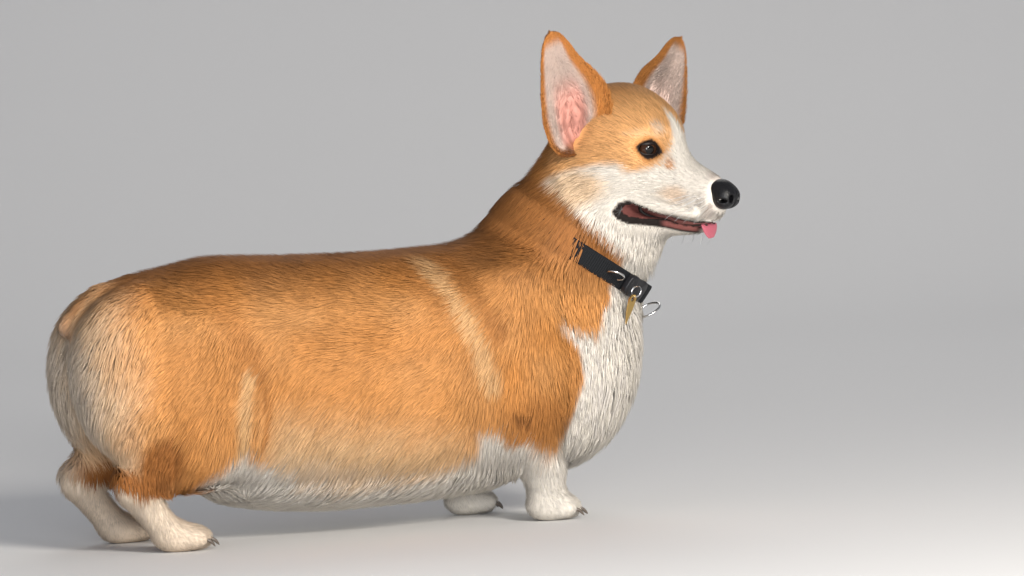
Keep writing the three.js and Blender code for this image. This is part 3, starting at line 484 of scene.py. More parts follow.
def net_of(values, lines):
    """Surface where grid values cross zero: one vertex in each cell that it passes, at the mean of its edge
    crossings, and one four-sided face round each grid edge that it crosses."""
    inside = values < 0
    corner = [
        inside[i : i - 1 or None, j : j - 1 or None, k : k - 1 or None]
        for i, j, k in product((0, 1), repeat=3)
    ]
    passed = np.logical_or.reduce(corner) & ~np.logical_and.reduce(corner)
    cells = np.argwhere(passed)
    index = np.full(passed.shape, -1)
    index[passed] = np.arange(len(cells))
    total, hits = np.zeros((len(cells), 3)), np.zeros(len(cells))
    for axis in range(3):
        for c in range(4):
            s = cells.copy()
            s[:, (axis + 1) % 3] += c & 1
            s[:, (axis + 2) % 3] += c >> 1
            e = s.copy()
            e[:, axis] += 1
            a, b = values[tuple(s.T)], values[tuple(e.T)]
            crossed = (a < 0) != (b < 0)
            p = np.stack([lines[n][s[:, n]] for n in range(3)], 1)
            share = np.where(crossed, a / np.where(crossed, a - b, 1), 0)
            p[:, axis] += share * (lines[axis][e[:, axis]] - lines[axis][s[:, axis]])
            total[crossed] += p[crossed]
            hits[crossed] += 1
    faces = []
    for axis in range(3):
        u, v = (axis + 1) % 3, (axis + 2) % 3
        low = [slice(1, -1)] * 3
        low[axis] = slice(0, -1)
        high = list(low)
        high[axis] = slice(1, None)
        a, b = inside[tuple(low)], inside[tuple(high)]
        s = np.argwhere(a != b)
        starts = a[tuple(s.T)]
        offset = np.ones(3, int)
        offset[axis] = 0
        s = s + offset
        ring = []
        for du, dv in ((0, 0), (1, 0), (1, 1), (0, 1)):
            q = s.copy()
            q[:, u] -= du
            q[:, v] -= dv
            ring.append(index[tuple(q.T)])
        ring = np.stack(ring, 1)
        ring[~starts] = ring[~starts][:, ::-1]
        faces.append(ring)
    return total / hits[:, None], np.concatenate(faces)


def evened(points, faces, rounds):
    """Moves each vertex half way to the middle of the ones it shares an edge with, a few times."""
    pairs = np.concatenate([faces[:, [i, (i + 1) % 4]] for i in range(4)])
    near = np.bincount(pairs[:, 0], minlength=len(points))
    for _ in range(rounds):
        middle = np.stack(
            [np.bincount(pairs[:, 0], points[pairs[:, 1], a], minlength=len(points)) for a in range(3)], 1
        )
        points = np.where(near[:, None] > 0, mix(points, middle / np.maximum(near, 1)[:, None], 0.5), points)
    return points


# Regions of the coat and what grows there, in millimetres

LOW_LEGS = [taper((x + 1, s * 60, 58), (x + 6, s * 58, 12), 22, 24) for s, x in FRONT_LEGS]
LOW_LEGS += [taper((x - 42, s * 61, 58), (x, s * 61, 12), 20, 24) for s, x in HIND_LEGS]
# Middle and radii of the oval that is the head, and its core, in the head's frame
HEAD_OVAL = ((-24, 0, -16), (100, 82, 86))
HEAD_CORE = (-20, 0, -20)
# Length, depth of the skin below the solids, rise of the tips over the skin, width, spacing
COAT = {
    "back": (17, 6.5, 6.6, 1.35, 1.65),
    "neck": (19, 8.0, 8.0, 1.3, 1.55),
    "chest": (28, 8.0, 12.5, 1.6, 2.05),
    "breeches": (27, 8.0, 12.5, 1.6, 2.05),
    "belly": (32, 8.0, 12.5, 1.6, 2.1),
    "tail": (15, 2.6, 3.6, 1.3, 1.5),
    "leg": (8, 3.0, 2.8, 1.2, 1.35),
    "paw": (6.5, 2.0, 1.8, 1.05, 1.25),
    "face": (9.0, 2.0, 2.3, 0.95, 1.12),
    "muzzle": (5.0, 1.2, 1.3, 0.72, 0.95),
    "cheek": (17, 5.0, 5.5, 1.15, 1.55),
}


def within(p, at, radii):
    """Distance from a middle point as a share of the radii."""
    return np.linalg.norm((p - np.array(at, float)) / np.array(radii, float), axis=-1)


def regions(p):
    """Share of each kind of coat at each point; the shares add up to one."""
    h = HEAD.inside(p)
    h[:, 1] = np.abs(h[:, 1])
    x, z = p[:, 0], p[:, 2]
    on_head = 1 - ramp(0.84, 1.1, within(h, *HEAD_OVAL))
    muzzle = on_head * ramp(10, 30, h[:, 0])
    cheek = on_head * np.maximum(
        1 - ramp(0.6, 1.15, within(h, (-70, 50, -46), (40, 34, 42))),
        ramp(-62, -96, h[:, 2]) * ramp(30, -10, h[:, 0]),
    )
    low = np.max([1 - ramp(2, 14, leg(p)) for leg in LOW_LEGS], axis=0) * (1 - ramp(46, 74, z))
    paw = low * (1 - ramp(20, 32, z))
    rest = 1 - on_head
    chest = rest * (1 - ramp(0.75, 1.15, within(p, (250, 0, 130), (74, 90, 108)))) * (1 - low)
    tail = rest * (1 - ramp(0.6, 1.15, within(p, (-264, 0, 206), (30, 24, 34))))
    breeches = rest * ramp(-205, -244, x) * ramp(96, 136, z) * ramp(250, 222, z) * (1 - low) * (1 - tail)
    belly = rest * ramp(76, 46, z) * (1 - low) * (1 - chest) * (1 - breeches)
    neck_line = taper((186, -4, 236), (254, -22, 310), 0, 0)
    neck = rest * (1 - ramp(78, 112, neck_line(p))) * (1 - chest) * (1 - low)
    shares = {
        "muzzle": muzzle * (1 - cheek),
        "cheek": cheek,
        "face": on_head * (1 - ramp(10, 30, h[:, 0])) * (1 - cheek),
        "paw": rest * paw,
        "leg": rest * (low - paw),
        "chest": chest,
        "breeches": breeches,
        "belly": belly,
        "tail": tail,
        "neck": neck,
    }
    taken = np.clip(sum(shares.values()), 1.0, None)
    shares = {name: share / taken for name, share in shares.items()}
    shares["back"] = np.clip(1 - sum(shares.values()), 0, 1)
    return shares


def coat_sizes(p):
    """Length, depth, rise, width and spacing of the coat at each point, mixed from the regions."""
    total = np.zeros((len(p), 5))
    for name, share in regions(p).items():
        total += share[:, None] * np.array(COAT[name], float)
    return total.T


# Lie of the coat: (place, way) pairs, each for the left side and mirrored to the right

BODY_LIE = (
    ((235, 25, 312), (-0.7, 0.2, -0.7)),
    ((220, 62, 262), (-0.15, 0.1, -1.0)),
    ((190, 50, 262), (-0.75, 0.2, -0.6)),
    ((140, 10, 256), (-1.0, 0.05, -0.15)),
    ((0, 15, 258), (-1.0, 0.1, -0.1)),
    ((-110, 15, 262), (-1.0, 0.12, -0.12)),
    ((-190, 20, 255), (-1.0, 0.15, -0.35)),
    ((10, 100, 205), (-1.0, 0.05, -0.35)),
    ((10, 110, 140), (-1.0, 0.0, -0.5)),
    ((0, 100, 80), (-0.8, 0.0, -0.8)),
    ((100, 98, 190), (-0.85, 0.0, -0.6)),
    ((145, 98, 165), (-0.45, 0.1, -0.95)),
    ((148, 104, 110), (-0.25, 0.0, -1.0)),
    ((190, 80, 210), (-0.2, 0.1, -1.0)),
    ((-30, 84, 42), (-0.4, 0.1, -1.0)),
    ((-30, 0, 26), (-1.0, 0.0, -0.2)),
    ((-190, 104, 165), (-0.75, 0.0, -0.65)),
    ((-195, 100, 100), (-0.45, 0.0, -0.9)),
    ((-120, 100, 110), (-0.7, 0.0, -0.8)),
    ((-245, 66, 190), (-0.55, 0.0, -0.85)),
    ((-272, 42, 165), (-0.2, 0.2, -1.0)),
    ((-262, 50, 105), (0.05, 0.1, -1.0)),
    ((-262, 0, 222), (-0.6, 0.0, -0.8)),
    ((-250, 26, 226), (-0.6, 0.0, -0.8)),
    ((272, 0, 170), (0.1, 0.0, -1.0)),
    ((225, 66, 150), (0.0, 0.12, -1.0)),
    ((225, 20, 66), (-0.3, 0.0, -0.9)),
    ((150, 60, 60), (-0.1, 0.0, -1.0)),
    ((150, 60, 25), (0.2, 0.0, -1.0)),
    ((180, 58, 10), (0.9, 0.0, -0.4)),
    ((-225, 60, 62), (0.0, 0.0, -1.0)),
    ((-205, 60, 28), (0.1, 0.0, -1.0)),
    ((-178, 60, 10), (0.9, 0.0, -0.4)),
)
HEAD_LIE = (
    ((52, 0, -14), (-1.0, 0.0, 0.35)),
    ((45, 18, -36), (-1.0, 0.25, -0.1)),
    ((42, 20, -54), (-0.9, 0.15, -0.5)),
    ((18, 6, 2), (-0.75, 0.1, 0.7)),
    ((-5, 8, 36), (-0.85, 0.12, 0.5)),
    ((-45, 12, 52), (-1.0, 0.15, 0.05)),
    ((2, 32, 17), (-0.75, 0.35, 0.6)),
    ((-20, 42, 6), (-1.0, 0.25, 0.15)),
    ((8, 34, -18), (-1.0, 0.35, -0.2)),
    ((-25, 52, -28), (-1.0, 0.2, -0.45)),
    ((-72, 60, -40), (-0.75, 0.25, -0.85)),
    ((-50, 50, -72), (-0.6, 0.1, -1.0)),
    ((52, 8, -78), (-1.0, 0.1, -0.3)),
    ((-10, 0, -104), (-0.5, 0.0, -1.0)),
    ((8, 28, -82), (-0.8, 0.1, -0.75)),
    ((-104, 20, 8), (-0.6, 0.1, -0.9)),
)


def guided(p, guides, reach):
    """Mix of the guides' ways at each point, each weighed by a bell curve of its distance."""
    q = p.copy()
    side = np.where(q[:, 1] < 0, -1.0, 1.0)
    q[:, 1] = np.abs(q[:, 1])
    total = np.zeros((len(q), 3))
    for at, way in guides:
        d = np.linalg.norm(q - np.array(at, float), axis=1)
        total += (np.exp(-((d / reach) ** 2)) + 1e-5 / (1 + d))[:, None] * unit(np.array(way, float))
    total[:, 1] *= side
    return unit(total)


def lie_of(p, normal):
    """Way that the coat lies at each point, flat on the skin, a little stirred by slow noise."""
    h = HEAD.inside(p)
    on_head = 1 - ramp(0.8, 1.15, within(h, *HEAD_OVAL))
    way = mix(guided(p, BODY_LIE, 46.0), HEAD.way(guided(h, HEAD_LIE, 26.0)), on_head[:, None])
    across = np.cross(normal, way)
    stir = 0.30 * noise(p, 46, 3) + 0.22 * noise(p, 17, 4)
    way = way + across * (stir * mix(1.0, 0.5, on_head))[:, None]
    way -= normal * (way * normal).sum(-1, keepdims=True)
    return unit(way)


# Markings


def line_gap(p, start, end):
    """Distance in side view from each (x, z) pair to a straight line between two points."""
    a, b = np.array(start, float), np.array(end, float)
    q = p - a
    t = np.clip(q @ (b - a) / ((b - a) @ (b - a)), 0, 1)
    return np.linalg.norm(q - t[:, None] * (b - a), axis=1)


def stroke(p, points, half):
    """Soft mask along a run of points in side view."""
    gap = np.min([line_gap(p, a, b) for a, b in zip(points[:-1], points[1:])], axis=0)
    return 1 - ramp(half * 0.4, half * 1.5, gap)


def collar_turn(p):
    """Angle round the collar's axis in degrees from the throat, more than 0 on the dog's left."""
    q = p - np.array(COLLAR_AT)
    return np.degrees(np.arctan2(q @ COLLAR_SIDE, q @ COLLAR_FRONT))


COLLAR_AXIS = unit(np.array(COLLAR_WAY))
COLLAR_SIDE = unit(np.cross(COLLAR_AXIS, (1.0, 0.0, 0.0)))
COLLAR_FRONT = np.cross(COLLAR_SIDE, COLLAR_AXIS)


# Height at each x of the edge between the coloured flank and the white below it
WHITE_EDGE = (
    (-240, 30), (-186, 52), (-158, 74), (-128, 94), (-104, 78), (-68, 58), (-20, 54), (60, 60), (104, 78),
)
# Side view of the neck: x at each height where the white bib begins
BIB_EDGE = ((30, 152), (60, 160), (95, 176), (137, 194), (169, 190), (192, 169), (200, 400))
# Head: height at each x where the red cap begins, and half width of the blaze at each height
CAP_EDGE = ((-104, -46), (-73, -28), (-51, -21), (-27, -14), (-12, -13), (-4, -20), (8, -18), (17, -13))
BLAZE_EDGE = ((-20, 24), (0, 12), (7, 9), (20, 6), (28, 2.5), (34, 0))
BROW_SPOT = np.array((0.52, 0.42, 0.33))
GREY_DOWN = np.array((0.40, 0.32, 0.29))
WHISKER_DOTS = np.array((0.16, 0.11, 0.09))


def body_paint(p):
    """Colour of the trunk and legs at each point, from soft masks in side view."""
    red, dark, pale, white = (tint(n) for n in ("red", "dark", "pale", "white"))
    rough = noise(p, 9, 21)
    wide = noise(p, 30, 22)
    x, y, z = p[:, 0] + 3 * rough, np.abs(p[:, 1]), p[:, 2] + 3 * rough
    xz = np.stack([x, z], 1)
    side = ramp(25, 60, y)
    c = np.tile(red, (len(p), 1))
    c = blend(c, mix(red, pale, 0.30), 0.5 + 0.5 * wide)
    back = ramp(212, 258, z + 8 * wide) * ramp(-240, -205, x)
    c = blend(c, mix(red, dark, 0.80), 0.80 * back)
    c = blend(c, mix(red, dark, 0.45), 0.5 * stroke(xz, ((-154, 252), (-129, 207), (-114, 167)), 12) * side)
    line = 122 - 0.20 * (x + 98)
    flank = ramp(line + 32, line - 40, z) * ramp(-118, -84, x) * ramp(118, 88, x)
    c = blend(c, mix(pale, white, 0.10), flank)
    low_flank = ramp(line - 22, line - 62, z) * ramp(-120, -80, x) * ramp(112, 80, x)
    c = blend(c, mix(pale, white, 0.6), low_flank)
    saddle_end = stroke(xz, ((58, 262), (68, 236), (84, 206), (95, 172), (103, 140)), 9)
    c = blend(c, mix(red, pale, 0.80), 0.9 * saddle_end * side)
    c = blend(c, mix(red, dark, 0.55), 0.7 * stroke(xz, ((88, 252), (102, 218), (114, 184)), 8) * side)
    c = blend(c, mix(red, dark, 0.45), 0.5 * stroke(xz, ((36, 252), (64, 208)), 10) * side)
    c = blend(c, mix(red, dark, 0.6), 0.55 * ramp(170, 195, x) * ramp(234, 258, z) * (0.6 + 0.4 * wide))
    rump = ramp(-196, -264, x + 12 * wide) * ramp(254, 230, z)
    c = blend(c, mix(pale, white, 0.30), rump)
    c = blend(c, white, 0.6 * ramp(-244, -268, x) * ramp(225, 205, z))
    # Painted shade: a darker stroke down the crease between the breeches, where the cleft lies in shade.
    c = blend(c, mix(red, dark, 0.5), 0.35 * ramp(14, 5, y) * ramp(-230, -250, x) * ramp(80, 100, z))
    # Painted light and shade of a skin fold on the flank that the solids lack: a pale lit stroke and a dark
    # shaded crease beside it.
    c = blend(c, mix(red, pale, 0.9), 0.8 * stroke(xz, ((-119, 160), (-126, 128), (-134, 94)), 7) * side)
    c = blend(c, mix(red, dark, 0.4), 0.7 * stroke(xz, ((-112, 170), (-105, 140), (-106, 104)), 3.5) * side)
    edge = curve(WHITE_EDGE, x)
    c = blend(c, white, ramp(edge + 10, edge - 8, z) * ramp(112, 98, x) * ramp(-204, -190, x))
    band = 1 - ramp(0.55, 1.3, within(xz, (142, 104), (36, 24)))
    c = blend(c, mix(red, dark, 0.5), 0.7 * band * side)
    c = blend(c, dark * 0.5, 0.8 * stroke(xz, ((120, 112), (129, 111), (136, 103)), 3) * side)
    sock = ramp(4, -8, z - (96 - 0.36 * (x - 102))) * ramp(84, 94, x) * ramp(184, 140, x)
    c = blend(c, white, sock)
    c = blend(c, white, ramp(70, 58, z) * ramp(80, 96, x))
    hock = np.maximum(
        1 - ramp(0.6, 1.3, within(xz, (-226, 72), (30, 16))),
        1 - ramp(0.6, 1.3, within(xz, (-204, 92), (22, 24))),
    )
    c = blend(c, mix(red, dark, 0.7), hock * ramp(20, 45, y))
    c = blend(c, mix(white, pale, 0.35), ramp(60, 50, z + 0.25 * (x + 200)) * ramp(-140, -160, x))
    front = curve(BIB_EDGE, z)
    bib = ramp(-5, 5, x - front) * ramp(6, -6, z - (192 - 0.35 * (x - 169)))
    throat = ramp(74, 64, np.abs(collar_turn(p)) - 6 * rough) * ramp(120, 150, z) * ramp(176, 200, x)
    c = blend(c, white, np.maximum(bib, throat))
    nape = ramp(70, 95, np.abs(collar_turn(p))) * ramp(195, 225, x) * ramp(240, 262, z)
    c = blend(c, mix(red, dark, 0.55), 0.65 * nape)
    tail = stroke(xz, ((-238, 240), (-266, 208)), 7) * ramp(26, 12, y)
    c = blend(c, mix(red, dark, 0.4), 0.5 * tail)
    return c


# Side view of the mouth as (x, z) pairs: its opening, above and below, and the bare lips' edges beyond it
MOUTH_CORNER = (-7.5, -56.5)
LIP_CORNER = (-12.5, -57.5)
LIP_FRONT = 66.0
MOUTH_UPPER = (
    MOUTH_CORNER, (-6, -51.8), (0, -50), (6, -51.6), (13, -54.6),
    (21, -58.2), (34, -62.2), (52, -62), (70, -57), (82, -52),
)
MOUTH_LOWER = (
    MOUTH_CORNER, (-5, -60), (4, -63), (13, -63), (21, -62.4), (34, -65.2), (52, -65), (64, -63), (82, -58),
)
LIP_CREST = (
    (-12.5, -56), (-9.5, -49), (-2, -45.4), (6.5, -49.6), (16.5, -54.2), (25, -58.4),
    (33, -60.6), (43, -61), (52, -60.2), (68, -56), (82, -51),
)
LIP_FOOT = (
    (-12.5, -59), (-9, -64.5), (-2.6, -68.8), (11.4, -71.6), (24, -72.2),
    (34, -73.4), (46, -73.6), (57, -72.4), (64, -69), (82, -60),
)


def mouth_lines(x):
    """Heights at each x of the mouth's opening, above and below, and of the bare lips' edges beyond it."""
    return [curve(line, x) for line in (MOUTH_UPPER, MOUTH_LOWER, LIP_CREST, LIP_FOOT)]


def past_corner(h, corner, ahead):
    """Distance in side view from a corner behind it, and the given distance ahead of it."""
    behind = np.hypot(h[:, 0] - corner[0], h[:, 2] - corner[1])
    return np.where(h[:, 0] < corner[0], behind, ahead)


def lip_gap(h):
    """Distance in side view from the opening of the mouth, less than 0 inside it."""
    upper, lower, _, _ = mouth_lines(h[:, 0])
    tall = np.maximum(h[:, 2] - upper, lower - h[:, 2])
    return past_corner(h, MOUTH_CORNER, tall)


def lips_gap(h):
    """Distance in side view from the bare lips round the opening, less than 0 on them."""
    _, _, crest, foot = mouth_lines(h[:, 0])
    tall = np.maximum(h[:, 2] - crest, foot - h[:, 2])
    return past_corner(h, LIP_CORNER, np.where(h[:, 0] > LIP_FRONT, 9.0, tall))


def almond(share, half, peak, floor):
    """Outline of the eye's opening: across from corner to corner and how far up or down it runs, as two arcs
    whose heights follow a skewed sine; share runs once round it."""
    a = share * 2 * math.pi
    across = half * np.cos(a)
    up = np.sin(a)
    skew = 0.18 * np.sin(2 * a)
    return across, np.where(up > 0, peak, floor) * (up + skew * np.sign(up) * np.abs(up))


def eye_frame(side):
    """Axes of one eye in the head's frame: line of sight, way to the nose side, way up; and its centre."""
    look = math.radians(EYE["look"])
    sight = np.array([math.cos(look), side * math.sin(look), 0.0])
    inner = np.array([math.sin(look), -side * math.cos(look), 0.0])
    up = np.array([0.0, 0.0, 1.0])
    tilt = math.radians(LID["tilt"])
    inner, up = inner * math.cos(tilt) - up * math.sin(tilt), up * math.cos(tilt) + inner * math.sin(tilt)
    start = np.array([EYE["x"] - 10 * sight[0], side * EYE["y"] - 10 * sight[1], EYE["z"]])
    reach = np.arange(0, 40, 0.25)
    hit = reach[np.argmax(skull(start + reach[:, None] * sight) >= 0)]
    return sight, inner, up, start + sight * (hit + EYE["show"] - EYE["radius"])


def eye_gap(h, wide=1.02, above=0.95, below=0.78, round_off=2.0):
    """Distance from an oval about the nearer eye's opening, less than 0 inside it."""
    gaps = []
    for side in (1.0, -1.0):
        sight, inner, up, centre = eye_frame(side)
        q = h - centre
        a, b, ahead = q @ inner, q @ up, q @ sight
        tall = np.where(b > 0, LID["tall"] * above, LID["tall"] * below)
        share_a, share_b = np.abs(a / (LID["half"] * wide)), np.abs(b / tall)
        k = (share_a**round_off + share_b**round_off) ** (1 / round_off)
        reach = np.hypot(a, b)
        gaps.append(np.where(ahead > 0, reach * (1 - 1 / np.maximum(k, 1e-3)), 99.0))
    return np.minimum(*gaps)


def lid_gap(h):
    """Distance from the pointed black rim round the nearer eye, less than 0 on it."""
    return eye_gap(h, 1.36, 1.36, 1.22, 1.40)


def head_paint(h):
    """Colour of the head at each point of its own frame, from soft masks in side and front view."""
    red, dark, pale, white = (tint(n) for n in ("red", "dark", "pale", "white"))
    rough = noise(h, 5, 31)
    x, y, z = h[:, 0] + 1.4 * rough, np.abs(h[:, 1]), h[:, 2] + 1.4 * rough
    xz = np.stack([x, z], 1)
    xyz = np.stack([x, y, z], 1)
    c = np.tile(white, (len(h), 1))
    top = curve(CAP_EDGE, x)
    cap = ramp(-5, 4, z - top) * ramp(26, 18, x + 0.25 * np.abs(z))
    c = blend(c, mix(red, pale, 0.50) * 1.08, cap)
    c = blend(c, mix(white, pale, 0.75), 0.9 * (1 - ramp(0.5, 1.2, within(xz, (-44, -36), (30, 18)))))
    behind = stroke(xz, ((-86, -18), (-78, -42), (-60, -58), (-42, -65)), 9) * ramp(30, 45, y)
    c = blend(c, mix(red, pale, 0.45), 0.85 * behind)
    c = blend(c, white, stroke(xz, ((-93, -39), (-73, -61), (-47, -73), (-22, -89)), 6) * ramp(30, 45, y))
    c = blend(c, mix(red, dark, 0.22), cap * ramp(-50, -96, x))
    neck = ramp(-92, -104, x + 0.6 * (z + 40)) * ramp(40, 20, z)
    c = blend(c, mix(red, dark, 0.3), neck)
    c = blend(c, mix(red, dark, 0.35), 0.55 * ramp(16, 50, z) * cap * ramp(0, -50, x))
    half = curve(BLAZE_EDGE, z)
    c = blend(c, white, ramp(half + 2.5, half - 2, y) * ramp(38, 29, z) * ramp(-4, 8, x))
    c = blend(c, mix(white, pale, 0.5), 0.7 * (1 - ramp(0.5, 1.2, within(xyz, (22, 19, 2), (8, 7, 9)))))
    brow = 1 - ramp(0.5, 1.2, within(xyz, (13, 20, 19), (11, 8, 7)))
    c = blend(c, BROW_SPOT, 0.75 * brow)
    over_eye = stroke(xz, ((-10, 12), (0, 15), (12, 12)), 2.0)
    c = blend(c, mix(pale, white, 0.2), 0.45 * over_eye * ramp(16, 22, y))
    c = blend(c, mix(red, dark, 0.1), 0.9 * stroke(xz, ((20, -2), (24, -14)), 2.6) * ramp(12, 18, y))
    muzzle_side = 1 - ramp(0.4, 1.4, within(xz, (31, -38), (13, 8)))
    c = blend(c, mix(red, pale, 0.6), 0.4 * muzzle_side * ramp(8, 14, y))
    c = blend(c, GREY_DOWN, 0.5 * (1 - ramp(0.5, 1.3, within(h, (62, 0, -19), (8, 11, 7)))))
    c = blend(c, GREY_DOWN, 0.45 * (1 - ramp(0.5, 1.3, within(xyz, (68, 9, -50), (12, 8, 8)))))
    rows = hashed(np.round(h[:, 0] / 4), np.round(y / 4), np.round(h[:, 2] / 4.5), np.full(len(h), 5))
    dots = (1 - ramp(0.7, 1.3, within(xyz, (56, 14, -44), (15, 14, 10)))) * (rows > 0.85)
    c = blend(c, WHISKER_DOTS, 0.5 * dots)
    c = blend(c, mix(red, dark, 0.3), 0.7 * ramp(5, 1, lid_gap(h)) * cap)
    c = blend(c, tint("rim") * 0.6, ramp(1.0, -0.7, lid_gap(h)))
    _, lower, _, foot = mouth_lines(h[:, 0])
    lips = ramp(1.4, -0.9, lips_gap(h)) * ramp(72, 64, h[:, 0])
    c = blend(c, tint("rim") * 0.6, lips)
    fleshy = ramp(-1.6, -3.2, h[:, 2] - lower) * ramp(1.2, 3.0, h[:, 2] - foot) * lips
    c = blend(c, tint("gum") * 1.15, 0.8 * fleshy * ramp(14, 22, h[:, 0]) * ramp(56, 44, h[:, 0]))
    return c


def bare_share(h):
    """Where no hair grows: round the eyes, on the lips and under the nose leather."""
    nose = within(h, (NOSE_AT[0] - 1, 0, NOSE_AT[2] + 1), (14.5, 14.5, 14)) < 1
    return (lid_gap(h) < -0.2) | (lips_gap(h) < -0.4) | (lip_gap(h) < 0.8) | nose


def paint(p):
    """Colour of skin and coat at each point of the dog's frame."""
    h = HEAD.inside(p)
    on_head = 1 - ramp(0.97, 1.04, within(h, *HEAD_OVAL))
    colours = body_paint(p)
    near = on_head > 0
    colours[near] = mix(colours[near], head_paint(h[near]), on_head[near][:, None])
    return colours


# Meshes in Blender


class Corgi:
    """What the operators share while one dog is made: the fields on grids and the skins that they gave."""

    offset = None
    body = None
    head = None
    skins = {}


def to_frame(p):
    """Millimetres of the dog's frame to metres of the packed frame."""
    return (np.asarray(p, float) + Corgi.offset) * 0.001


def mesh_from(name, points, faces, materials, colours=None, normals=None, uv=None, smooth=True):
    """One object from arrays: points in the dog's frame, faces all of three or all of four corners."""
    faces = np.asarray(faces, np.int32)
    mesh = bpy.data.meshes.new(name)
    mesh.vertices.add(len(points))
    mesh.vertices.foreach_set("co", to_frame(points).astype(np.float32).ravel())
    mesh.loops.add(faces.size)
    mesh.loops.foreach_set("vertex_index", faces.ravel())
    mesh.polygons.add(len(faces))
    mesh.polygons.foreach_set("loop_start", np.arange(0, faces.size, faces.shape[1], dtype=np.int32))
    mesh.polygons.foreach_set("use_smooth", np.full(len(faces), smooth))
    mesh.update(calc_edges=True)
    if colours is not None:
        layer = mesh.color_attributes.new(name="coat", type="FLOAT_COLOR", domain="POINT")
        rgba = np.ones((len(points), 4), np.float32)
        rgba[:, :3] = np.clip(colours, 0, 1)
        layer.data.foreach_set("color", rgba.ravel())
    if uv is not None:
        for layer_name, values in uv.items():
            layer = mesh.uv_layers.new(name=layer_name)
            layer.data.foreach_set("uv", values[faces.ravel()].astype(np.float32).ravel())
    if normals is not None:
        mesh.normals_split_custom_set_from_vertices(unit(normals).astype(np.float32).tolist())
    for material in materials:
        mesh.materials.append(material)
    piece = bpy.data.objects.new(name, mesh)
    bpy.context.collection.objects.link(piece)
    return piece


def grid_faces(rows, columns, wrap_rows=False, wrap_columns=False):
    """Four-sided faces over a grid of vertices kept row by row, closed round where asked."""
    r = np.arange(rows if wrap_rows else rows - 1)
    c = np.arange(columns if wrap_columns else columns - 1)
    r, c = all_pairs(r, c)
    r2, c2 = (r + 1) % rows, (c + 1) % columns
    return np.stack([r * columns + c, r * columns + c2, r2 * columns + c2, r2 * columns + c], 1)


def facing_out(points, faces):
    """Turns all faces round where the surface encloses less than nothing."""
    a, b, c = points[faces[:, 0]], points[faces[:, 1]], points[faces[:, 2]]
    volume = (np.cross(a, b) * c).sum()
    if faces.shape[1] == 4:
        volume += (np.cross(a, c) * points[faces[:, 3]]).sum()
    return faces if volume > 0 else faces[:, ::-1]


def finish_piece(piece, slot, *nodes):
    """Ties a piece to the packed frame: what it moves with, the nodes it stands for and its slot."""
    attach(piece, "root")
    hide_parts(*nodes)
    return piece


# Materials


def material(name, rough, base=None, attribute=None, metal=0.0, coat=0.0, specular=0.5):
    """A Principled material with plain numbers on its sockets; its colour is plain or read from the mesh."""
    made = bpy.data.materials.new(name)
    made.use_nodes = True
    shader = made.node_tree.nodes["Principled BSDF"]
    shader.inputs["Roughness"].default_value = rough
    shader.inputs["Metallic"].default_value = metal
    shader.inputs["Coat Weight"].default_value = coat
    shader.inputs["Coat Roughness"].default_value = 0.06
    shader.inputs["Specular IOR Level"].default_value = specular
    if base is not None:
        shader.inputs["Base Color"].default_value = (*base, 1.0)
        made.diffuse_color = (*base, 1.0)
    if attribute:
        reader = made.node_tree.nodes.new("ShaderNodeVertexColor")
        reader.layer_name = attribute
        made.node_tree.links.new(reader.outputs["Color"], shader.inputs["Base Color"])
    return made


def add_bump(made, kind, scale, strength, distance, coordinates="Object"):
    """Fine relief from a procedural texture read in object space or in the piece's own UV."""
    nodes, links = made.node_tree.nodes, made.node_tree.links
    where = nodes.new("ShaderNodeTexCoord")
    texture = nodes.new(kind)
    texture.inputs["Scale"].default_value = scale
    relief = nodes.new("ShaderNodeBump")
    relief.inputs["Strength"].default_value = strength
    relief.inputs["Distance"].default_value = distance
    links.new(where.outputs[coordinates], texture.inputs["Vector"])
    out = texture.outputs["Distance"] if kind == "ShaderNodeTexVoronoi" else texture.outputs["Fac"]
    links.new(out, relief.inputs["Height"])
    links.new(relief.outputs["Normal"], nodes["Principled BSDF"].inputs["Normal"])
    return made


# Skin


def skin_field_of_head(p):
    """Skin of the head: the body's field set in by the coat's depth, swollen round the eyes, with the
    sockets and the opening of the mouth carved out."""
    h = HEAD.inside(p)
    d = in_chunks(body, p) + coat_sizes(p)[1]
    for side in (1.0, -1.0):
        sight, _, _, centre = eye_frame(side)
        q = h - centre
        ball = np.linalg.norm(q, axis=1) - EYE["radius"]
        lid = np.maximum(ball - 1.3, 4.0 - q @ sight)
        k = 5.0
        soft = np.maximum(k - np.abs(d - lid), 0) / k
        d = np.minimum(d, lid) - soft * soft * k / 4
        opening = np.maximum(eye_gap(h) + 0.3, 5.0 - q @ sight)
        d = np.maximum(d, -opening)
        d = np.maximum(d, -(ball - 0.35))
    return np.maximum(d, -np.maximum(lip_gap(h), np.abs(h[:, 1]) - 60))


def clipped(points, faces, keep):
    """Keeps the faces whose corners all pass, and drops the vertices that no face uses."""
    faces = faces[keep[faces].all(axis=1)]
    used = np.unique(faces)
    place = np.full(len(points), -1)
    place[used] = np.arange(len(used))
    return points[used], place[faces]


HEAD_CUT_AT = (-46.0, 0.0, -40.0)
HEAD_CUT_WAY = (0.75, 0.0, 0.66)


def head_side(p):
    """Distance ahead of the plane where the head's skin takes over from the neck's."""
    return (HEAD.inside(p) - np.array(HEAD_CUT_AT)) @ unit(np.array(HEAD_CUT_WAY))


def ear_axes(ear):
    """Root of an ear in the head's frame, its axes up its height, across its width and out of its opening,
    and its length."""
    root, tip = np.array(ear["root"], float), np.array(ear["tip"], float)
    up = unit(tip - root)
    opening = math.radians(ear["open"])
    face = np.array([math.cos(opening), ear["side"] * math.sin(opening), 0.0])
    across = unit(np.cross(up, face))
    return root, up, across, np.cross(across, up), np.linalg.norm(tip - root)


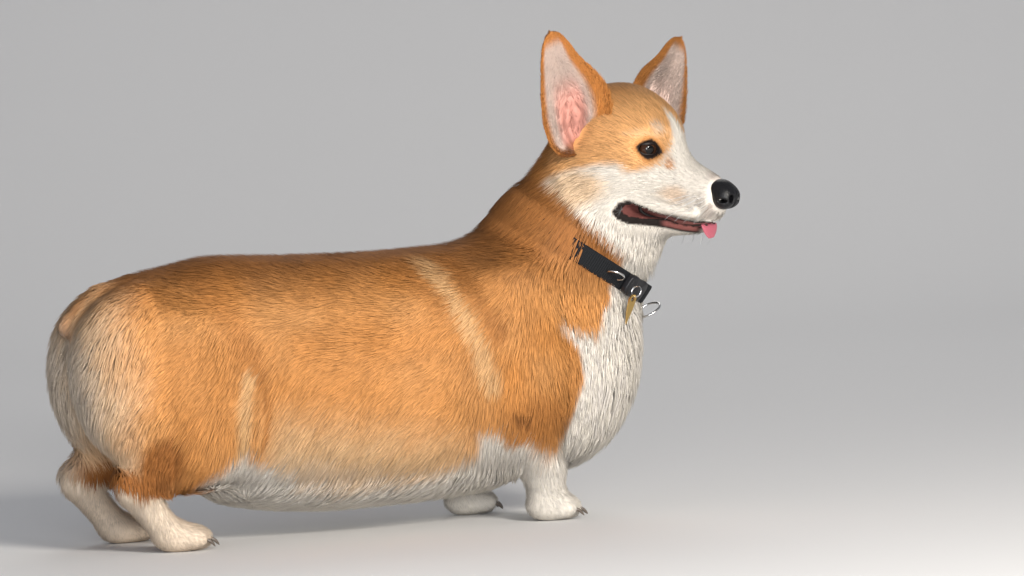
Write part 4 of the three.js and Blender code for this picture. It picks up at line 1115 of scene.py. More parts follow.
# Outline of an ear: share of its height, and how far its outer and inner edges lie from its axis there
EAR_EDGE = np.array(
    [
        [0, 3, 4], [0.1, 25, 24], [0.28, 32, 37], [0.5, 29, 35], [0.75, 20, 20],
        [0.9, 13, 13], [0.96, 8.5, 9], [0.985, 5.2, 5.6], [1, 0.8, 0.8],
    ]
)
# Folds inside an ear: where each starts across it, its slant, how fast it wanders and its half width
EAR_FOLDS = ((-0.18, 0.35, 9.0, 0.10), (0.10, 0.22, 12.0, 0.085), (0.36, 0.10, 8.0, 0.08))


def ear_folds(t, u):
    """Height of the skin folds inside an ear: three soft ridges that wander up from the root, broken by
    knobs, as bell curves about slanted lines."""
    total = np.zeros(len(t))
    for start, slant, bend, half in EAR_FOLDS:
        line = start + slant * t + 0.035 * np.sin(bend * 2.4 * t + 9 * start)
        knobs = 0.65 + 0.35 * np.sin(38 * t + 20 * start)
        total += knobs * np.exp(-(((u - line) / half) ** 2))
    return total * ramp(0.50, 0.30, t) * ramp(0.02, 0.10, t)


def ear_sheet(ear, t, u, lift):
    """Point of an ear at share t of its height and u from edge to edge: a leaf outline with a hollow that is
    deepest at the root, moved out of its opening by lift."""
    root, up, across, face, length = ear_axes(ear)
    outer, inner = stations_at(EAR_EDGE, t).T
    half, middle = (outer + inner) / 2, (inner - outer) / 2 * -ear["side"]
    depth = ear["cup"] * mix(1, 0.1, t**0.7) * np.minimum(half / 22, 1)
    out = depth * (u * u - 0.5) + lift * np.sqrt(np.maximum(1 - u * u, 0.02))
    if lift > 0:
        out = out + ear["fold"] * ear_folds(t, u * ear["side"])
    p = root + up * (t * length)[:, None] + across * (middle + u * half)[:, None] + face * out[:, None]
    return HEAD.out(p)


def ear_surface(ear, rows=96, columns=61, thick=1.1):
    """Closed skin of an ear: a front and a back sheet over the same leaf grid, meeting at the edge."""
    heights = 0.998 * np.sin(np.linspace(0, math.pi / 2, rows))
    t, u = all_pairs(heights, np.linspace(-1, 1, columns))
    front = ear_sheet(ear, t, u, thick)
    back = ear_sheet(ear, t, u, -thick)
    points = np.concatenate([front, back])
    faces = grid_faces(rows, columns)
    both = np.concatenate([faces, faces[:, ::-1] + len(front)])
    edges = []
    for ring in (np.arange(rows) * columns, np.arange(rows) * columns + columns - 1):
        edges.append(np.stack([ring[:-1], ring[1:], ring[1:] + len(front), ring[:-1] + len(front)], 1))
    top = (rows - 1) * columns + np.arange(columns)
    edges.append(np.stack([top[:-1], top[1:], top[1:] + len(front), top[:-1] + len(front)], 1))
    edges[1] = edges[1][:, ::-1]
    edges[2] = edges[2][:, ::-1]
    return points, np.concatenate([both, *edges]), t, u


def ear_paint(t, u, inside, ear):
    """Colour of an ear by height and width: red rim and back, and a grey-white inside with pink towards
    the root."""
    red, dark, white = (tint(n) for n in ("red", "dark", "white"))
    c = np.tile(mix(red, dark, 0.12), (len(t), 1))
    c = blend(c, mix(red, dark, 0.45), ramp(0.22, 0.05, t))
    if inside:
        v = u * ear["side"]
        edge = np.where(v < 0, 0.58, 0.80)
        inner = ramp(edge + 0.12, edge - 0.08, np.abs(u)) * ramp(0.95, 0.85, t)
        # Painted shade: the pale inside is darkened more on the ear with deep folds (0.84) than on the other
        # ear (0.95).
        c = blend(c, mix(white, tint("skin"), 0.30) * (0.84 if ear["fold"] > 1 else 0.95), inner)
        pink = ramp(0.66, 0.36, t) * ramp(0.62, 0.30, np.abs(v - 0.05)) * min(ear["fold"], 1.0)
        c = blend(c, tint("skin") * 0.9, 0.9 * pink)
        folds = ear_folds(t, v)
        # Painted shade in the grooves between the folds of the pink hollow.
        deep = pink * ramp(0.5, 0.1, folds) * ramp(0.44, 0.30, t)
        c = blend(c, tint("skin") * 0.42, 0.75 * deep)
        # Painted shadow at the root of the ear's hollow.
        c = blend(c, dark, 0.85 * ramp(0.13, 0.05, t))
    return c


# Corners of the grids over the body and the head, and how far the two skins lap over
BODY_GRID = ((-330, -136, -12), (306, 136, 440))
HEAD_GRID = ((-128, -100, -132), (92, 100, 84))
LAP = 5


def build_skin():
    """Grids of the body and head, and one skin over both with the ears' skins joined on."""
    step = sizes().skin_step * 1000
    Corgi.body = Sampled(body, *BODY_GRID, step)
    inset = coat_sizes(Corgi.body.points)[1].reshape(Corgi.body.count)
    points, faces = net_of(Corgi.body.values + inset, Corgi.body.lines)
    points = evened(points, faces, 2)
    points, faces = clipped(points, faces, head_side(points) < LAP)
    points[:, 2] = np.maximum(points[:, 2], 0.3)
    face_step = sizes().face_step * 1000
    Corgi.head = Sampled(body, *HEAD_GRID, face_step, HEAD)
    values = in_chunks(skin_field_of_head, Corgi.head.world(), 150000).reshape(Corgi.head.count)
    head_points, head_faces = net_of(values, Corgi.head.lines)
    head_points = HEAD.out(evened(head_points, head_faces, 2))
    head_points, head_faces = clipped(head_points, head_faces, head_side(head_points) > -LAP)
    Corgi.skins = {"body": (points, faces), "head": (head_points, head_faces)}
    parts = [(points, faces, paint(points)), (head_points, head_faces, paint(head_points))]
    h = HEAD.inside(head_points)
    carved = Corgi.head.at(head_points) + coat_sizes(head_points)[1] < -1.2
    parts[1][2][carved & (lip_gap(h) < 4)] = tint("gum") * 0.7
    parts[1][2][carved & (eye_gap(h) < 4)] = tint("rim")
    for ear in EARS.values():
        ear_points, ear_faces, t, u = ear_surface(ear)
        colours = np.concatenate([ear_paint(t, u, True, ear), ear_paint(t, u, False, ear)])
        parts.append((ear_points, facing_out(ear_points, ear_faces), colours))
    start = np.cumsum([0] + [len(p[0]) for p in parts])
    points = np.concatenate([p[0] for p in parts])
    faces = np.concatenate([p[1] + s for p, s in zip(parts, start)])
    skin = material("skin", 0.75, attribute="coat", specular=0.2)
    add_bump(skin, "ShaderNodeTexNoise", 900.0, 0.35, 0.0006)
    piece = mesh_from("corgi_skin", points, faces, [skin], colours=np.concatenate([p[2] for p in parts]))
    nodes = ["neck", "chest", "torso", "rump", "tail", "head", "lower_jaw", "ear_left", "ear_right"]
    limbs = product(("front", "hind"), ("leg", "paw"), EARS)
    nodes += [f"{end}_{part}_{side}" for end, part, side in limbs]
    return finish_piece(piece, "red_coat", *nodes)


# Coat


def scatter(points, faces, random, thickness=1.0):
    """Roots over a skin, placed at random: on each face as many as its area over the spacing squared."""
    triangles = np.concatenate([faces[:, [0, 1, 2]], faces[:, [0, 2, 3]]])
    order = np.argsort(np.tile(np.arange(len(faces)), 2), kind="stable")
    triangles = triangles[order]
    a, b, c = (points[triangles[:, i]] for i in range(3))
    area = np.linalg.norm(np.cross(b - a, c - a), axis=1) / 2
    spacing = coat_sizes((a + b + c) / 3)[4]
    expected = np.cumsum(area / spacing**2 * thickness)
    count = int(expected[-1])
    pick = np.searchsorted(expected, np.arange(count) + random.random(count))
    pick = np.clip(pick, 0, len(triangles) - 1)
    r, s = np.sqrt(random.random(count))[:, None], random.random(count)[:, None]
    return a[pick] * (1 - r) + b[pick] * (r * (1 - s)) + c[pick] * (r * s)


def clump_of(p, size, seed):
    """Middle of the clump that each root belongs to: the nearest of one jittered point in each cell."""
    cell = np.floor(p / size)
    best = np.full(len(p), np.inf)
    middle = p.copy()
    for corner in product((-1, 0, 1), repeat=3):
        c = cell + corner
        jitter = [hashed(c[:, 0], c[:, 1], c[:, 2], np.full(len(p), seed + n)) for n in range(3)]
        spot = (c + np.stack(jitter, 1)) * size
        gap = ((p - spot) ** 2).sum(1)
        closer = gap < best
        best[closer] = gap[closer]
        middle[closer] = spot[closer]
    return middle


def to_clump(root, normal, size, seed):
    """Way along the skin from each root to the middle of its clump."""
    flat = clump_of(root, size, seed) - root
    return flat - normal * (flat * normal).sum(1)[:, None]


# Share of a tuft's length at each ring, and width of the ring, for each number of rings
RING_SHARES = {3: (0.0, 0.38, 0.74, 1.0), 2: (0.0, 0.5, 1.0), 1: (0.0, 1.0)}
RING_WIDTHS = {3: (0.9, 1.0, 0.62), 2: (1.0, 0.85), 1: (1.0,)}


def tufts(root, normal, lie, length, rise, width, rings, sampled=None, pull=None, press=None):
    """Arrays of all tufts: each a closed three-sided spike whose rings run along the lie of the coat. The
    root is sunk a little; the middle line climbs to its full rise with a slope that dies out at the tip."""
    level = sampled.at(root) if sampled is not None else None
    shares = RING_SHARES[rings]
    path, outs = [], []
    for s in shares:
        ahead = root + lie * (length * s)[:, None]
        if pull is not None:
            ahead = ahead + pull * s**1.5
        climb = rise * (1 - (1 - s) ** 2) - 1.0 * (s == 0)
        if sampled is None:
            ahead = ahead + normal * climb[:, None]
            out = normal
        else:
            goal = level + climb
            if press is not None:
                goal = press(ahead, goal)
            ahead = sampled.settled(ahead, goal)
            ahead[:, 2] = np.maximum(ahead[:, 2], 0.6)
            out = sampled.way_out(ahead)
        path.append(ahead)
        outs.append(out)
    points, normals, along = [], [], []
    for i in range(rings):
        way = unit(path[i + 1] - path[i])
        side = unit(np.cross(outs[i], way))
        half = (width * 0.5 * RING_WIDTHS[rings][i])[:, None]
        points += [path[i] - side * half, path[i] + side * half, path[i] + outs[i] * half * 0.62]
        normals += [outs[i] - side * 0.3, outs[i] + side * 0.3, outs[i]]
        along += [shares[i]] * 3
    points.append(path[-1])
    normals.append(outs[-1] + unit(path[-1] - path[-2]) * 0.35)
    along.append(1.0)
    return np.stack(points, 1), np.stack(normals, 1), np.array(along)


def tuft_faces(rings):
    """Triangles of one tuft: three sides between rings, a three-sided tip and a cap on the root."""
    faces = []
    for r in range(rings - 1):
        for i, j in ((0, 1), (1, 2), (2, 0)):
            a, b, c, d = 3 * r + i, 3 * r + j, 3 * r + 3 + j, 3 * r + 3 + i
            faces += [(a, b, c), (a, c, d)]
    last = 3 * (rings - 1)
    tip = 3 * rings
    faces += [(last, last + 1, tip), (last + 1, last + 2, tip), (last + 2, last, tip), (0, 2, 1)]
    return np.array(faces)


# Side of one tuft's patch on the unwrap, and the most tufts of one piece for each number of rings
PATCH = 0.003
MOST_TUFTS = {1: 46000, 2: 18500}


def in_runs(chosen, rings):
    """Splits the chosen tufts into even runs, none longer than one piece holds."""
    return np.array_split(chosen, max(1, math.ceil(len(chosen) / MOST_TUFTS[rings])))


def coat_piece(name, points, normals, along, rings, root_colour, tip_colour, unwrap, made, slot):
    """One object of tufts with their colours and a small patch each on the unwrap of the skin."""
    count, each = points.shape[:2]
    faces = tuft_faces(rings)
    flat = points.reshape(-1, 3)
    all_faces = (faces[None] + (np.arange(count) * each)[:, None, None]).reshape(-1, 3)
    share = np.clip(along, 0, 1)[None, :, None]
    colours = root_colour[:, None, :] * (1 - share) + tip_colour[:, None, :] * share
    across = np.concatenate([np.tile((-0.5, 0.5, 0.0), rings), [0.0]])
    uv = np.repeat(unwrap[:, None, :], each, 1)
    uv[:, :, 0] += across * PATCH
    uv[:, :, 1] += (along - 0.5) * PATCH
    piece = mesh_from(
        name,
        flat,
        all_faces,
        [made],
        colours=colours.reshape(-1, 3),
        normals=None if normals is None else normals.reshape(-1, 3),
        uv={"OFBake": np.clip(uv.reshape(-1, 2), 0, 1)},
    )
    return finish_piece(piece, slot)


def disc_unwrap(p, middle, pole):
    """Unwrap of a rounded end: angle from the pole as distance from the middle of the square."""
    q = unit(p - np.array(middle, float))
    pole = unit(np.array(pole, float))
    side = unit(np.cross(pole, (0.1, 0.2, 1.0) if abs(pole[2]) < 0.9 else (1.0, 0.0, 0.0)))
    other = np.cross(pole, side)
    fall = np.arccos(np.clip(q @ pole, -1, 1)) / math.pi
    turn = np.arctan2(q @ other, q @ side)
    return 0.5 + 0.49 * np.stack([fall * np.cos(turn), fall * np.sin(turn)], 1)


def drum_unwrap(p, middle, axis, low, high):
    """Unwrap of a barrel: the angle round an axis against the distance along it."""
    q = p - np.array(middle, float)
    others = [a for a in range(3) if a != axis]
    turn = np.arctan2(q[:, others[0]], q[:, others[1]]) / (2 * math.pi) + 0.5
    return np.clip(np.stack([turn, (p[:, axis] - low) / (high - low)], 1), 0.002, 0.998)


def pressed_by_collar(p, goal):
    """Keeps the coat below the strap at the throat and lays it, ragged, over the strap behind the cheeks."""
    q = p - np.array(COLLAR_AT)
    turn = collar_turn(p)
    off = np.abs(q @ COLLAR_AXIS)
    near = 1 - ramp(COLLAR_HALF - 1.0, COLLAR_HALF + 4, off)
    strand = hashed_line(np.round(turn), 9)
    shown = 1 - ramp(107, 114, np.abs(turn) + 13 * (strand - 0.5) + 3 * noise(p, 9, 51))
    goal = np.minimum(goal, mix(goal, COLLAR_DEPTHS[0] - 1.2, near * shown))
    over = (1 - ramp(COLLAR_HALF + 6, COLLAR_HALF + 16, off)) * (1 - shown)
    lifted = 0.3 * np.clip(goal + 9, 0, 12) - 0.3
    return mix(goal, np.maximum(goal, lifted), over)


def tuft_colours(root, random, base, strength=1.0):
    """Colours of roots and tips: the markings, lighter at the root, varied from tuft to tuft, and here and
    there a dark-tipped hair where the coat is red."""
    count = len(root)
    single = random.random(count) - 0.5
    shade = 1 + strength * (0.28 * single + 0.11 * noise(root, 12, 41) + 0.10 * noise(root, 4, 42))
    red = np.clip((base[:, 0] - base[:, 2]) / 0.45, 0, 1)
    # Painted shade: roots darker than the tips, as if shaded deep in the coat.
    low = base * mix(0.82, 0.74, red)[:, None]
    tip = base * shade[:, None]
    warm = 1 + 0.10 * strength * (random.random(count) - 0.5)
    tip[:, 2] *= warm
    height = ramp(205, 262, root[:, 2]) * red
    dark = (random.random(count) < 0.22 * height * strength)[:, None]
    tip = np.where(dark, tip * 0.45, tip)
    return low * shade[:, None], np.clip(tip, 0, 1)


def body_part(p):
    """Name of the coat piece that each root belongs to."""
    x, y, z = p.T
    low = np.min([leg(p) for leg in LOW_LEGS], axis=0) < 10
    names = np.full(len(p), "flank_left", dtype=object)
    names[y < 0] = "flank_right"
    names[(z > 205) & (x < 190)] = "back"
    names[(z < 62) & (x < 150)] = "belly"
    names[(x < -196) & (z > 62)] = "rump"
    names[(x > 176) & (z < 215)] = "chest"
    names[(x > 150) & (z >= 215)] = "neck"
    names[low & (z < 70)] = "legs"
    return names


def unwrap_of(part, p):
    """Place of each root on the unwrap that fits its coat piece."""
    if part == "rump":
        return disc_unwrap(p, (-190, 0, 160), (-1, 0, 0))
    if part == "chest":
        return disc_unwrap(p, (190, 0, 140), (1, 0, 0))
    if part == "neck":
        return drum_unwrap(p, (215, -8, 250), 2, 200, 360)
    if part == "legs":
        quarter = np.stack([(p[:, 0] > 0) * 0.5, (p[:, 1] > 0) * 0.5], 1)
        legs = np.array([[x - 20 if x < 0 else x, s * 60, 0] for s, x in (*FRONT_LEGS, *HIND_LEGS)])
        nearest = np.argmin([np.linalg.norm((p - leg)[:, :2], axis=1) for leg in legs], axis=0)
        q = p - legs[nearest]
        turn = np.arctan2(q[:, 1], q[:, 0]) / (2 * math.pi) + 0.5
        return quarter + 0.5 * np.clip(np.stack([turn, q[:, 2] / 72], 1), 0.01, 0.99)
    return drum_unwrap(p, (0, 0, 145), 0, -240, 200)


def build_body_coat():
    """Tufts over the trunk, neck and legs."""
    random = np.random.default_rng(sizes().seed)
    points, faces = Corgi.skins["body"]
    root = scatter(points, faces, random, sizes().coat_thickness)
    root = root[head_side(root) < 1.0]
    root = root[root[:, 2] > 1.2]
    sampled = Corgi.body
    normal = sampled.way_out(root)
    lie = lie_of(root, normal)
    length, _, rise, width, _ = coat_sizes(root)
    count = len(root)
    length = length * (0.8 + 0.4 * random.random(count))
    rise = rise * (0.62 + 0.40 * random.random(count))
    width = width * (0.75 + 0.5 * random.random(count))
    gathered = 0.14 * ramp(8, 18, length) + 0.22 * ramp(20, 30, length)
    pull = to_clump(root, normal, 11.0, 7) * gathered[:, None]
    stray = unit(np.cross(normal, lie)) * (0.16 * (random.random(count) - 0.5) * length)[:, None]
    low, tip = tuft_colours(root, random, paint(root))
    names = body_part(root)
    fur = material("body_fur", 0.65, attribute="coat", specular=0.18)
    for part in ("flank_left", "flank_right", "back", "belly", "rump", "chest", "neck", "legs"):
        mine = np.flatnonzero(names == part)
        rings = 2 if part in ("belly", "rump", "chest") else 1
        for number, chunk in enumerate(in_runs(mine, rings)):
            made = tufts(
                root[chunk], normal[chunk], lie[chunk], length[chunk], rise[chunk], width[chunk],
                rings, sampled, pull[chunk] + stray[chunk], pressed_by_collar,
            )
            slot = "white_coat" if part in ("belly", "chest", "legs") else "red_coat"
            unwrap = unwrap_of(part, root[chunk])
            coat_piece(f"fur_{part}_{number}", *made, rings, low[chunk], tip[chunk], unwrap, fur, slot)


def build_head_coat():
    """Short tufts over the face and longer ones on the cheeks, none on the bare rims, lips and nose."""
    random = np.random.default_rng(sizes().seed + 1)
    points, faces = Corgi.skins["head"]
    root = scatter(points, faces, random, sizes().coat_thickness)
    root = root[head_side(root) > -2.0]
    sampled = Corgi.head
    depth = coat_sizes(root)[1]
    outside = sampled.at(root) + depth > -1.3
    h = HEAD.inside(root)
    keep = outside & ~bare_share(h) & ~inside_ears(h)
    root, h = root[keep], h[keep]
    normal = sampled.way_out(root)
    lie = lie_of(root, normal)
    length, _, rise, width, _ = coat_sizes(root)
    count = len(root)
    close = ramp(0, 9, np.minimum(lid_gap(h), lips_gap(h)))
    length = length * (0.8 + 0.4 * random.random(count)) * mix(0.34, 1.0, close)
    rise = rise * (0.62 + 0.42 * random.random(count)) * mix(0.7, 1.0, close)
    width = width * (0.75 + 0.5 * random.random(count)) * mix(0.75, 1.0, close)
    pull = to_clump(root, normal, 7.0, 17) * (0.40 * ramp(9, 20, length))[:, None]
    stray = unit(np.cross(normal, lie)) * (0.22 * (random.random(count) - 0.5) * length)[:, None]
    low, tip = tuft_colours(root, random, paint(root), 0.95)
    fur = material("face_fur", 0.65, attribute="coat", specular=0.18)
    long_ones = length > 12
    for label, group, rings in (("cheek", long_ones, 2), ("face", ~long_ones, 1)):
        for side, name in ((1, "left"), (-1, "right")):
            mine = np.flatnonzero(group & (np.sign(h[:, 1] + 1e-9) == side))
            for number, chunk in enumerate(in_runs(mine, rings)):
                made = tufts(
                    root[chunk], normal[chunk], lie[chunk], length[chunk], rise[chunk], width[chunk],
                    rings, sampled, pull[chunk] + stray[chunk], pressed_by_collar,
                )
                unwrap = disc_unwrap(h[chunk], HEAD_CORE, (0.3, side, 0))
                label_here = f"fur_{label}_{name}_{number}"
                coat_piece(label_here, *made, rings, low[chunk], tip[chunk], unwrap, fur, "red_coat")


def inside_ears(h):
    """Roots that would grow up through the hollow of an ear."""
    hit = np.zeros(len(h), bool)
    for ear in EARS.values():
        root, up, across, face, length = ear_axes(ear)
        q = h - root
        t = q @ up / length
        edge = stations_at(EAR_EDGE, np.clip(t, 0, 1))
        half = edge.sum(1) / 2
        u = (q @ across - (edge[:, 1] - edge[:, 0]) / 2 * -ear["side"]) / np.maximum(half, 1)
        out = q @ face
        hit |= (t > 0.0) & (t < 0.45) & (np.abs(u) < 0.55) & (out > -12) & (out < 4)
    return hit


def build_ear_coat():
    """Short hair on the back and rim of each ear and pale hair inside it, sparse over the bare folds."""
    random = np.random.default_rng(sizes().seed + 2)
    fur = material("ear_fur", 0.6, attribute="coat", specular=0.22)
    for name, ear in EARS.items():
        rows = []
        face = HEAD.way(ear_axes(ear)[3])
        for inside, number in ((True, 15000), (False, 13000)):
            t = 0.02 + 0.97 * random.random(number) ** 0.9
            u = 2 * random.random(number) - 1
            if inside:
                v = u * ear["side"]
                bare = ramp(0.60, 0.36, t) * ramp(0.60, 0.38, np.abs(v - 0.05))
                keep = random.random(number) > 0.93 * bare
                t, u = t[keep], u[keep]
            lift = 1.0 if inside else -1.0
            p = ear_sheet(ear, t, u, lift)
            step = 0.004
            above, below = np.minimum(t + step, 1), np.maximum(t - step, 0)
            up = ear_sheet(ear, above, u, lift) - ear_sheet(ear, below, u, lift)
            beyond, before = np.minimum(u + step, 1), np.maximum(u - step, -1)
            wide = ear_sheet(ear, t, beyond, lift) - ear_sheet(ear, t, before, lift)
            normal = unit(np.cross(up, wide))
            normal *= np.sign((normal @ face) * lift)[:, None]
            middle_spread, edge_spread = (-0.35, 0.22) if inside else (0.0, 0.10)
            spread = mix(middle_spread, edge_spread, ramp(0.3, 0.9, np.abs(u))) * np.sign(u)
            spread = spread * ramp(1.0, 0.8, t)
            lie = unit(unit(up) + unit(wide) * spread[:, None] + 0.22 * (random.random((len(t), 3)) - 0.5))
            count = len(t)
            long = mix(12.0, 5.0, ramp(0.2, 0.9, t)) if inside else mix(8.5, 4.5, ramp(0.5, 1.0, t))
            length = long * (0.7 + 0.5 * random.random(count))
            rise = (1.8 if inside else 1.2) * (0.5 + 0.6 * random.random(count))
            width = 0.85 * (0.75 + 0.5 * random.random(count))
            low, tip = tuft_colours(p, random, ear_paint(t, u, inside, ear), 0.6)
            made = tufts(p, normal, lie, length, rise, width, 1)
            spot = np.stack([0.25 + 0.2 * u + (0 if inside else 0.5), 0.02 + 0.95 * t], 1)
            rows.append((made[0], low, tip, spot, made[2]))
        points, low, tip, spot = (np.concatenate([r[i] for r in rows]) for i in range(4))
        coat_piece(f"fur_ear_{name}", points, None, rows[0][4], 1, low, tip, spot, fur, "red_coat")


# Face details


def full_turn(count):
    """Even angles once round, in radians."""
    return np.linspace(0, 2 * math.pi, count, endpoint=False)


EYE_ROWS = 72
RIM_ROWS = 96
RIM_AROUND = 12
EYE_WHITE = np.array((0.16, 0.10, 0.085))
PUPIL = np.array((0.004, 0.004, 0.004))


def build_eyes():
    """Each eye is a ball whose pole is its line of sight, with pupil, iris and white as rings round it; each
    lid rim is a thin tube along an almond laid on the ball."""
    glass = material("eye", 0.06, attribute="coat", specular=0.35)
    rim = material("eye_rim", 0.45, base=tint("rim") * 0.7, specular=0.25)
    for name, ear in EARS.items():
        sight, inner, up, centre = eye_frame(ear["side"])
        fall, turn = all_pairs(np.linspace(0, math.pi, EYE_ROWS), full_turn(EYE_ROWS))
        gaze = unit(sight + np.array([0.10, 0, 0.02]))
        a = unit(inner - gaze * (inner @ gaze))
        b = np.cross(gaze, a)
        r = EYE["radius"] * (1 + 0.045 * ramp(0.62, 0.2, fall))
        points = centre + (
            gaze * (r * np.cos(fall))[:, None]
            + a * (r * np.sin(fall) * np.cos(turn))[:, None]
            + b * (r * np.sin(fall) * np.sin(turn))[:, None]
        )
        ring = fall / (math.pi / 2)
        c = np.tile(EYE_WHITE, (len(fall), 1))
        fibre = 0.85 + 0.3 * hashed_line(np.round(turn * 14), 3)
        c = blend(c, tint("iris") * 0.15, ramp(0.66, 0.60, ring))
        c = blend(c, tint("iris"), ramp(0.57, 0.50, ring))
        c = np.where((ring < 0.5)[:, None], c * fibre[:, None], c)
        c = blend(c, PUPIL, ramp(0.27, 0.23, ring))
        faces = facing_out(points, grid_faces(EYE_ROWS, EYE_ROWS, wrap_columns=True))
        ball = mesh_from(f"eye_ball_{name}", HEAD.out(points), faces, [glass], colours=c)
        finish_piece(ball, "eye", f"eye_{name}")

        along, round_it = all_pairs(np.linspace(0, 1, RIM_ROWS, endpoint=False), full_turn(RIM_AROUND))
        across, rise = almond(along, LID["half"], LID["tall"] * 0.86, LID["tall"] * 0.68)
        reach = EYE["radius"] + 0.5
        flat = inner * across[:, None] + up * rise[:, None]
        ahead = np.sqrt(np.maximum(reach**2 - across**2 - rise**2, 4.0))
        line = centre + flat + sight * ahead[:, None]
        outward = unit(line - centre)
        away = unit(flat - outward * (flat * outward).sum(1)[:, None])
        thick, high = 1.9, 0.8
        aside, above = thick * np.cos(round_it), high * np.sin(round_it)
        tube = line + away * aside[:, None] + outward * above[:, None]
        faces = facing_out(tube, grid_faces(RIM_ROWS, RIM_AROUND, True, True))
        finish_piece(mesh_from(f"eye_rim_{name}", HEAD.out(tube), faces, [rim]), "nose_leather")


nose_form = sculpt(
    (ellipsoid(NOSE_AT, (13.5, 13.2, 13)), 1),
    (ellipsoid((NOSE_AT[0] - 6, 0, NOSE_AT[2] + 6), (11, 12, 8)), 6),
    (mirrored(ellipsoid((NOSE_AT[0] + 4, 6.2, NOSE_AT[2] - 1.5), (9, 7.4, 9.5))), 4),
)


def nose_field(h):
    """Nose leather: two soft lobes with a groove down the middle, and nostrils curled out to the sides."""
    q = np.stack([h[:, 0], np.abs(h[:, 1]), h[:, 2]], 1)
    x, _, z = NOSE_AT
    d = nose_form(h)
    d = d + 1.1 * (1 - ramp(0.1, 1.8, q[:, 1])) * ramp(x + 2, x + 9, h[:, 0]) * ramp(z + 8, z + 1, h[:, 2])
    for form in (
        ellipsoid((x + 11, 5.8, z - 1.0), (7, 2.9, 3.6), yaw=24),
        ellipsoid((x + 6, 11.6, z - 3.2), (8, 3.6, 1.7), yaw=42),
    ):
        e = -form(q)
        k = 1.8
        soft = np.maximum(k - np.abs(d - e), 0) / k
        d = np.maximum(d, e) + soft * soft * k / 4
    return np.maximum(d, x - 8.5 - h[:, 0] - 0.2 * (h[:, 2] - z))


def build_nose():
    """Surface of the nose's field on a fine grid."""
    lines = [np.arange(v - 24.0, v + 24.0, 0.75) for v in NOSE_AT]
    grid = np.stack(np.meshgrid(*lines, indexing="ij"), -1).reshape(-1, 3)
    points, faces = net_of(nose_field(grid).reshape([len(line) for line in lines]), lines)
    points = evened(points, faces, 3)
    leather = material("nose_leather", 0.36, base=tint("nose"), specular=0.38)
    add_bump(leather, "ShaderNodeTexVoronoi", 800.0, 0.5, 0.0005)
    finish_piece(mesh_from("nose_pad", HEAD.out(points), faces, [leather]), "nose_leather", "nose")


def swept(path, way, wide, tall, side, around):
    """Closed body along a path: at each station an oval ring of the given half width and half height."""
    a = full_turn(around)
    up = np.cross(way, side)
    points = (
        path[:, None]
        + side[:, None] * (wide[:, None] * np.cos(a))[..., None]
        + up[:, None] * (tall[:, None] * np.sin(a))[..., None]
    ).reshape(-1, 3)
    return points, facing_out(points, grid_faces(len(path), around, wrap_columns=True))


# Middle line of the tongue: share of its length, x and z in the head's frame
TONGUE_PATH = (
    (0, 2, -71), (0.24, 22, -71), (0.50, 42, -70), (0.68, 52, -65), (0.82, 57, -64), (1, 60.5, -76),
)
LINING_WIDTH = ((-8, 23), (10, 22), (30, 17), (48, 12), (58, 5))
LIP_THICKNESS = ((-10, 2.6), (2, 2.0), (20, 1.2), (50, 1.0), (70, 0.8))


